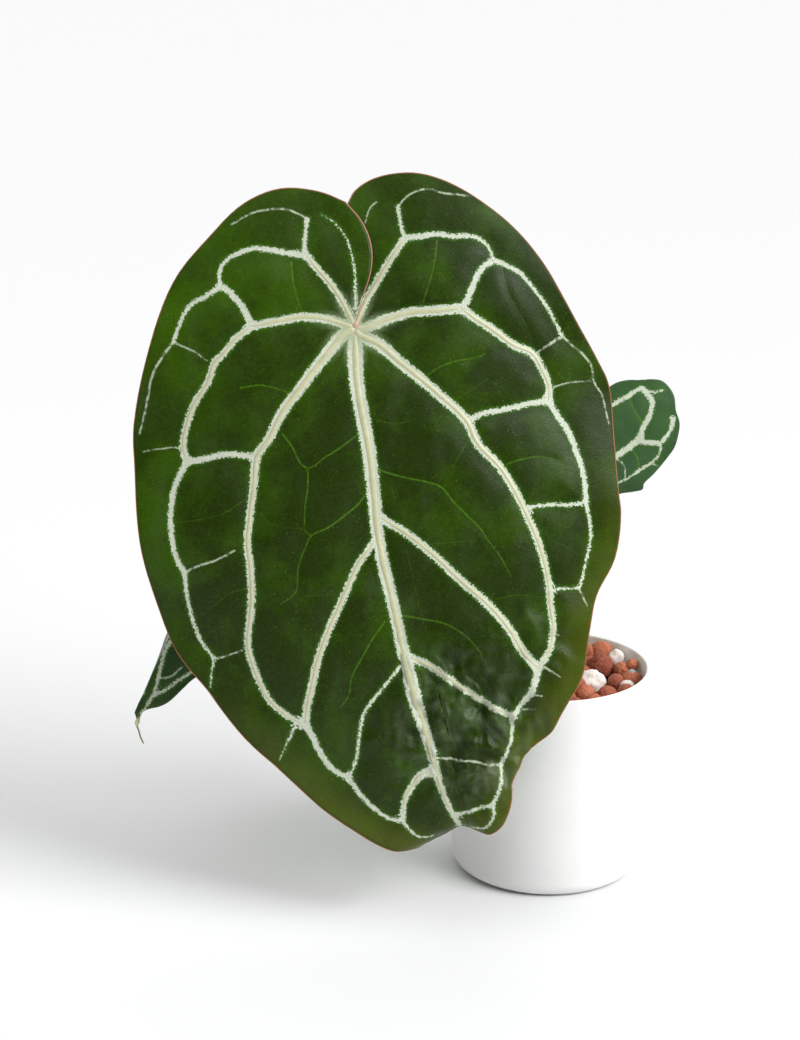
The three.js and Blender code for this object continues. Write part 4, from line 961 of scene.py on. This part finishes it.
    # Round the hub the white cells thin out into a pale green haze that spreads past the bands
    haze = add_node(skin, "Math", {0: share["hub_haze"], 1: share["haze"]}, operation="MULTIPLY")
    # What lies over the panels, in order: its share, how strong it is, and its colour
    for part, strength, colour in (
        (share["cell_wall"], 1.0, panel_dark), (draws["tiny"][0], 0.3, panel_bright),
        (share["speck"], is_speck, "#a3ad3c"), (paled, 1.0, "#4a6f4c"),
        (share["near_rim"], share["low_right"], olive), (green_vein, share["green_shown"], "#4f7f1c"),
        (share["fringe"], 0.5, "#3a7010"), (share["fine"], share["unbroken"], "#bcc8ac"),
        # The grey-green over the crumpled stretch and in streaks is painted sheen
        (painted_sheen, 1.0, "#67735c"), (haze, cloud["feather"], "#a9b893"),
    ):
        over = add_node(skin, "Math", {0: part, 1: strength}, operation="MULTIPLY")
        panel = add_node(skin, "Mix", {0: over, 6: panel, 7: srgb(colour)}, 2, data_type="RGBA")

    # The white bands glitter: pale cells, a little green between them
    glitter = add_node(skin, "Math", {0: draws["glitter"][0], 1: 0.55}, operation="MULTIPLY")
    surface = srgb(vein_white)
    for over, colour in ((glitter, "#93a67e"), (share["hub_green"], "#8c9f74")):
        surface = add_node(skin, "Mix", {0: over, 6: surface, 7: srgb(colour)}, 2, data_type="RGBA")
    surface = add_node(skin, "Mix", {0: share["band"], 6: panel, 7: surface}, 2, data_type="RGBA")
    red_line = add_node(skin, "Math", {0: share["red_line"], 1: reddish}, operation="MULTIPLY")
    for over, colour in ((red_line, "#7d4f28"), (share["hub_tan"], "#c3b79c")):
        surface = add_node(skin, "Mix", {0: over, 6: surface, 7: srgb(colour)}, 2, data_type="RGBA")

    # Panels are glossier than bands, and both vary from place to place
    band_rough = add_node(skin, "Math", {0: share["band"], 1: 0.2, 2: 0.3}, operation="MULTIPLY_ADD")
    rough = add_node(skin, "Math", {0: band_rough, 1: share["gloss"]})
    wall_bump = add_node(skin, "Bump", {"Height": cell_walls, "Strength": 0.2, "Distance": 0.0003})
    tuft_bump = add_node(skin, "Bump", {"Height": cloud["feather"], "Strength": 0.3, "Distance": 0.0006,
                                        "Normal": wall_bump})
    set_inputs(shader, {"Base Color": surface, "Roughness": rough, "Normal": tuft_bump})
    shader.inputs["IOR"].default_value = LEAF_IOR
    shader.inputs["Specular IOR Level"].default_value = 0.2
    return skin


# Dark and velvety above, paler and duller beneath
upper_skin = blade_material("velvety_leaf_skin", "#1d2807", "#3a5c07", "#5f6a14", "#d6dacb")
under_skin = blade_material("pale_leaf_underside", "#4a6a2c", "#5d7d38", "#76884a", "#c9d6a8")

# The margin's thickened cells, brown with red pigment
margin_edge, shader = new_material("reddish_leaf_margin")
place = add_node(margin_edge, "TexCoord", {}, "Object")
redness = add_node(margin_edge, "TexNoise", {"Vector": place, "Scale": 30.0, "Detail": 2.0})
margin_tint = add_node(margin_edge, "Mix", {0: redness, 6: srgb("#7c4220"), 7: srgb("#a8743c")}, 2,
                       data_type="RGBA")
flush = add_node(margin_edge, "Attribute", {}, "Fac", attribute_name="tone")
flushed = add_node(margin_edge, "Mix", {0: flush, 6: margin_tint, 7: srgb("#b2766a")}, 2, data_type="RGBA")
set_inputs(shader, {"Base Color": flushed, "Roughness": 0.45})

# Smooth pale tissue along the top of each rib, a little glossier than the bands beside it
vein_ridge = mottled("pale_vein_ridge", "#aeb083", "#cfcfae", 380.0, 3.0, 0.38)


def leaf_frame(leaf):
    stood = Matrix.Rotation(math.radians(90 - LEAF_LEAN), 4, "X")
    turned = Matrix.Rotation(-math.radians(leaf["turn"]), 4, "Z")
    return Matrix.Translation(HUBS[leaf["name"]]) @ stood @ turned


def is_left(leaf, at, u):
    """Whether a flat place at share u round the blade is left of the midrib or of the sinus."""
    return u > 0.5 if at.y > 0 else at.x < leaf["bend"][1] * at.y * at.y - leaf["bend"][0] * at.y


def relief(leaf, maps, at):
    """How far the skin stands off the blade's mean surface: panels bulge, bands lie lower."""
    band_far, green_far = (nearest_vein(*maps[layer], at)[0].z for layer in ("band", "green"))
    bulge = PANEL_BULGE * (1 - math.exp(-((band_far / PANEL_SPREAD) ** 2))) - BAND_DROP
    crease = -CREASE_DEPTH * math.exp(-((green_far / CREASE_SPREAD) ** 2))
    rumple = sum(depth * noise.noise(Vector((at.x / size, at.y / size, seed)))
                 for size, depth, seed in RUMPLES)
    for (at_a, at_b), reach, fold_size, by in leaf["wrinkles"]:
        near = math.exp(-(((at.x - at_a) ** 2 + (at.y - at_b) ** 2) / reach ** 2))
        fold = 0.3 - abs(noise.noise(Vector((at.x / fold_size, at.y / fold_size, by))))
        rumple += by * near * fold
    return min(1, leaf["half_width"] / 100) * (bulge + crease + rumple)


def make_bead(leaf, place, maps, stood):
    """The fine bead along the main blade's margin, its sinus and the slit over its hub."""
    bead = bmesh.new()
    tones = bead.verts.layers.float.new("tone")
    count = 5 * (len(leaf["margin"]) - 1)
    lines = [([place(k / count, 1) for k in range(count + 1)], None)]
    lines += [([place(u, k / 40) for k in range(2, 41)], u) for u in (0, 1)]
    lines.append((flat_path(HUB_SLIT, step=1), 0))
    for line, side in lines:
        spots, flushes = [], []
        for i, at in enumerate(line):
            on_left = is_left(leaf, at, i / count if side is None else side)
            spots.append(stood @ seated(leaf, at.x, at.y, on_left, relief(leaf, maps, at))[0])
            flush = ease(at.y, FLUSH_FROM, FLUSH_FULL) * math.exp(-((at.x / FLUSH_WIDTH) ** 2))
            flushes.append(flush if side is None else 1.0)
        rings = add_rod(bead, spots, [BEAD_RADIUS] * len(spots), 6)
        for ring, flush in zip(rings, flushes):
            for vert in ring:
                vert[tones] = flush
    bmesh.ops.recalc_face_normals(bead, faces=bead.faces)
    finished(f"{leaf['name']}_margin_bead", bead, [margin_edge], [])


def make_blade(leaf, columns, rows):
    skin = bmesh.new()
    layers = {layer: skin.verts.layers.float_vector.new(layer)
              for layer in ("flat", "band", "fine", "green", "span", "rim")}
    bmesh.ops.create_grid(skin, x_segments=columns, y_segments=rows, size=0.5)
    place = spoke_place(leaf)
    maps = {"band": vein_map(leaf["veins"], 0.4), "fine": vein_map(leaf["fine_veins"]),
            "green": vein_map(leaf["green_veins"])}
    rim_map = vein_map([((1, 1), leaf["margin"])])
    stood = leaf_frame(leaf)
    for vert in skin.verts:
        u = round((vert.co.x + 0.5) * columns) / columns
        v = round((vert.co.y + 0.5) * rows) / rows
        at = place(u, v ** 0.9)
        halves = []
        for layer, (tree, places) in maps.items():
            arrow, half = nearest_vein(tree, places, at)
            vert[layers[layer]] = arrow
            halves.append(half)
        vert[layers["flat"]] = at
        vert[layers["span"]] = halves
        vert[layers["rim"]] = (nearest_vein(*rim_map, at)[0].z, leaf["red_rim"], leaf["pale"])
        raised = relief(leaf, maps, at)
        vert.co = stood @ seated(leaf, at.x, at.y, is_left(leaf, at, u), raised)[0]
    bmesh.ops.remove_doubles(skin, verts=skin.verts, dist=0.02)
    piece = finished(f"{leaf['name']}_blade_skin", skin, [upper_skin, under_skin, margin_edge],
                     [f"{leaf['name']}_leaf_blade"])
    wall = piece.modifiers.new("wall", "SOLIDIFY")
    wall.thickness = BLADE_THICKNESS * MM
    wall.offset = 0
    wall.material_offset = 1
    wall.material_offset_rim = 2 if leaf["red_rim"] == 1 else 0

    if leaf["red_rim"] == 1:
        make_bead(leaf, place, maps, stood)

    # A pale ridge along each main vein
    ridges = bmesh.new()
    for widths, route in leaf["veins"]:
        if max(widths) < RIDGED_WIDTH:
            continue
        path = flat_path(route, step=3)
        on_left = route[-1][0] < -2
        spots, ups, radii = [], [], []
        for i, at in enumerate(path):
            raised = relief(leaf, maps, at) + BLADE_THICKNESS / 2
            spot, up = seated(leaf, at.x, at.y, on_left, raised)
            spots.append(stood @ spot)
            ups.append((stood.to_3x3() @ up).normalized())
            width = width_at(widths, i / (len(path) - 1))
            # It runs out at the free ends and where the band is narrow
            to_end = len(path) - 1 - i if route[0] == (0, 0) else min(i, len(path) - 1 - i)
            radii.append(RIDGE_SHARE * width * ease(width, 3.2, 5) * ease(to_end, -1, 4) + 0.1)
        add_rod(ridges, spots, radii, 12, ups)
    bmesh.ops.recalc_face_normals(ridges, faces=ridges.faces)
    finished(f"{leaf['name']}_vein_ridges", ridges, [vein_ridge], [])


make_blade(main_leaf, 424, 106)
make_blade(rear_left_leaf, 180, 56)
make_blade(rear_right_leaf, 180, 56)

# Hub bosses
# Where the main veins meet, each blade has a small tan pad over the stalk's joint, with the
# short neck behind it that carries the blade.
PAD_RADIUS = 4.2
PAD_SHAPE = (0.4, 0.7, 0.16)
PAD_RISE = 1.2
NECK_DEPTHS = (0.3, 2, 4, HUB_NECK)

# Tan, faintly streaked living tissue with a soft sheen
hub_tan = mottled("tan_hub_tissue", "#a98a72", "#c4a48a", 300.0, 3.0, 0.5)
for leaf in (main_leaf, rear_left_leaf, rear_right_leaf):
    stood = leaf_frame(leaf)
    boss = bmesh.new()
    pad = bmesh.ops.create_uvsphere(boss, u_segments=24, v_segments=12, radius=PAD_RADIUS)["verts"]
    for vert in pad:
        across, up, deep = (reach * share for reach, share in zip(vert.co, PAD_SHAPE))
        vert.co = stood @ Vector((across, up + PAD_RISE, deep))
    neck_path = [stood @ Vector((0, 0, -depth)) for depth in NECK_DEPTHS]
    add_rod(boss, neck_path, [JOINT_RADIUS] * len(neck_path), 20)
    bmesh.ops.recalc_face_normals(boss, faces=boss.faces)
    finished(f"{leaf['name']}_hub_boss", boss, [hub_tan], [])

# Dried thread
# The withered tip of the rear left blade: a pale swelling, then a thin brown thread.
THREAD_ROUTE = [(0.5, -171), (1, -177), (4, -180.5), (6.5, -183.5), (10, -186.5)]
THREAD_RADIUS = 0.5
# The swelling: how much thicker, and its middle and length in steps along the route
SWELL_RADIUS, SWELL_AT, SWELL_LENGTH = 1.2, 4.5, 2.2

# Dead leaf tissue: dry, matt, brown and creamy where it swells
thread_brown, shader = new_material("dried_leaf_thread")
place = add_node(thread_brown, "TexCoord", {}, "Object")
thread_tone = add_node(thread_brown, "TexNoise", {"Vector": place, "Scale": 200.0, "Detail": 2.0})
thread_tint = add_node(thread_brown, "Mix", {0: thread_tone, 6: srgb("#6f6338"), 7: srgb("#a8a078")}, 2,
                       data_type="RGBA")
swelling = add_node(thread_brown, "Attribute", {}, "Fac", attribute_name="tone")
thread_paled = add_node(thread_brown, "Mix", {0: swelling, 6: thread_tint, 7: srgb("#d9d9ae")}, 2,
                        data_type="RGBA")
set_inputs(shader, {"Base Color": thread_paled, "Roughness": 0.7})
thread = bmesh.new()
stood = leaf_frame(rear_left_leaf)
tones = thread.verts.layers.float.new("tone")
thread_path = [stood @ seat(rear_left_leaf, at.x, at.y, False) for at in flat_path(THREAD_ROUTE, step=1)]
swells = [math.exp(-(((i - SWELL_AT) / SWELL_LENGTH) ** 2)) for i in range(len(thread_path))]
rings = add_rod(thread, thread_path, [THREAD_RADIUS + SWELL_RADIUS * swell for swell in swells], 10)
for ring, swell in zip(rings, swells):
    for vert in ring:
        vert[tones] = ease(swell, 0.05, 0.5)
bmesh.ops.recalc_face_normals(thread, faces=thread.faces)
finished("rear_left_dried_thread", thread, [thread_brown], [])

# Floor, light and camera
# A wide white floor, soft white light that is stronger above and behind the plant, a soft
# sun and a window at the right front, and a long lens above the rim, tipped down.
FLOOR_RADIUS = 14
BRIGHTEST_SKY = (0.25, 0.45, 0.85)
LENS_LENGTH, LENS_FRAME = 85, 36
CAMERA_AT = (-0.0959, -1.4786, 0.6997)

# Matt white paint, even and without gloss
white_floor, shader = new_material("white_floor")
set_inputs(shader, {"Base Color": srgb("#e2e2e3"), "Roughness": 0.9})
ground = bmesh.new()
bmesh.ops.create_circle(ground, cap_ends=True, segments=96, radius=FLOOR_RADIUS)
ground_mesh = bpy.data.meshes.new("floor")
ground.to_mesh(ground_mesh)
ground.free()
ground_mesh.materials.append(white_floor)
floor = bpy.data.objects.new("floor", ground_mesh)
bpy.context.scene.collection.objects.link(floor)

sky = bpy.data.worlds.new("soft_white")
bpy.context.scene.world = sky
sky.use_nodes = True
background = sky.node_tree.nodes["Background"]
aim = add_node(sky, "TexCoord", {}, "Generated")
height = add_node(sky, "VectorMath", {0: aim, 1: BRIGHTEST_SKY}, "Value", operation="DOT_PRODUCT")
glow = add_node(sky, "MapRange", {0: height, 1: -0.15, 2: 0.65, 3: 0.02, 4: 1.1},
                interpolation_type="SMOOTHSTEP")
# The camera itself sees plain white
seen = add_node(sky, "LightPath", {}, "Is Camera Ray")
strength = add_node(sky, "Mix", {0: seen, 2: glow, 3: 0.95})
set_inputs(background, {"Strength": strength, "Color": srgb("#ffffff")})


def add_light(name, kind, at, towards, power, **settings):
    lamp = bpy.data.lights.new(name, kind)
    lamp.energy = power
    for setting, value in settings.items():
        setattr(lamp, setting, value)
    holder = bpy.data.objects.new(name, lamp)
    holder.location = at
    holder.rotation_euler = (Vector(towards) - Vector(at)).to_track_quat("-Z", "Y").to_euler()
    bpy.context.scene.collection.objects.link(holder)


add_light("soft_sun", "SUN", (2.6, -1.3, 2.4), (0, 0, 0.2), 1.9, angle=math.radians(30))
add_light("window", "AREA", (0.8, -1.0, 1.3), (-0.05, -0.05, 0.25), 7,
          shape="DISK", size=0.5, color=(0.96, 0.98, 1.0))

lens = bpy.data.cameras.new("photo_lens")
lens.lens = LENS_LENGTH
lens.sensor_width = LENS_FRAME
lens.clip_end = 20
camera = bpy.data.objects.new("photo_camera", lens)
camera.location = CAMERA_AT
camera.rotation_euler = (math.radians(90 - LEAF_LEAN), 0, 0)
bpy.context.scene.collection.objects.link(camera)
bpy.context.scene.camera = camera
bpy.context.scene.view_settings.view_transform = "Standard"

bpy.context.view_layer.update()
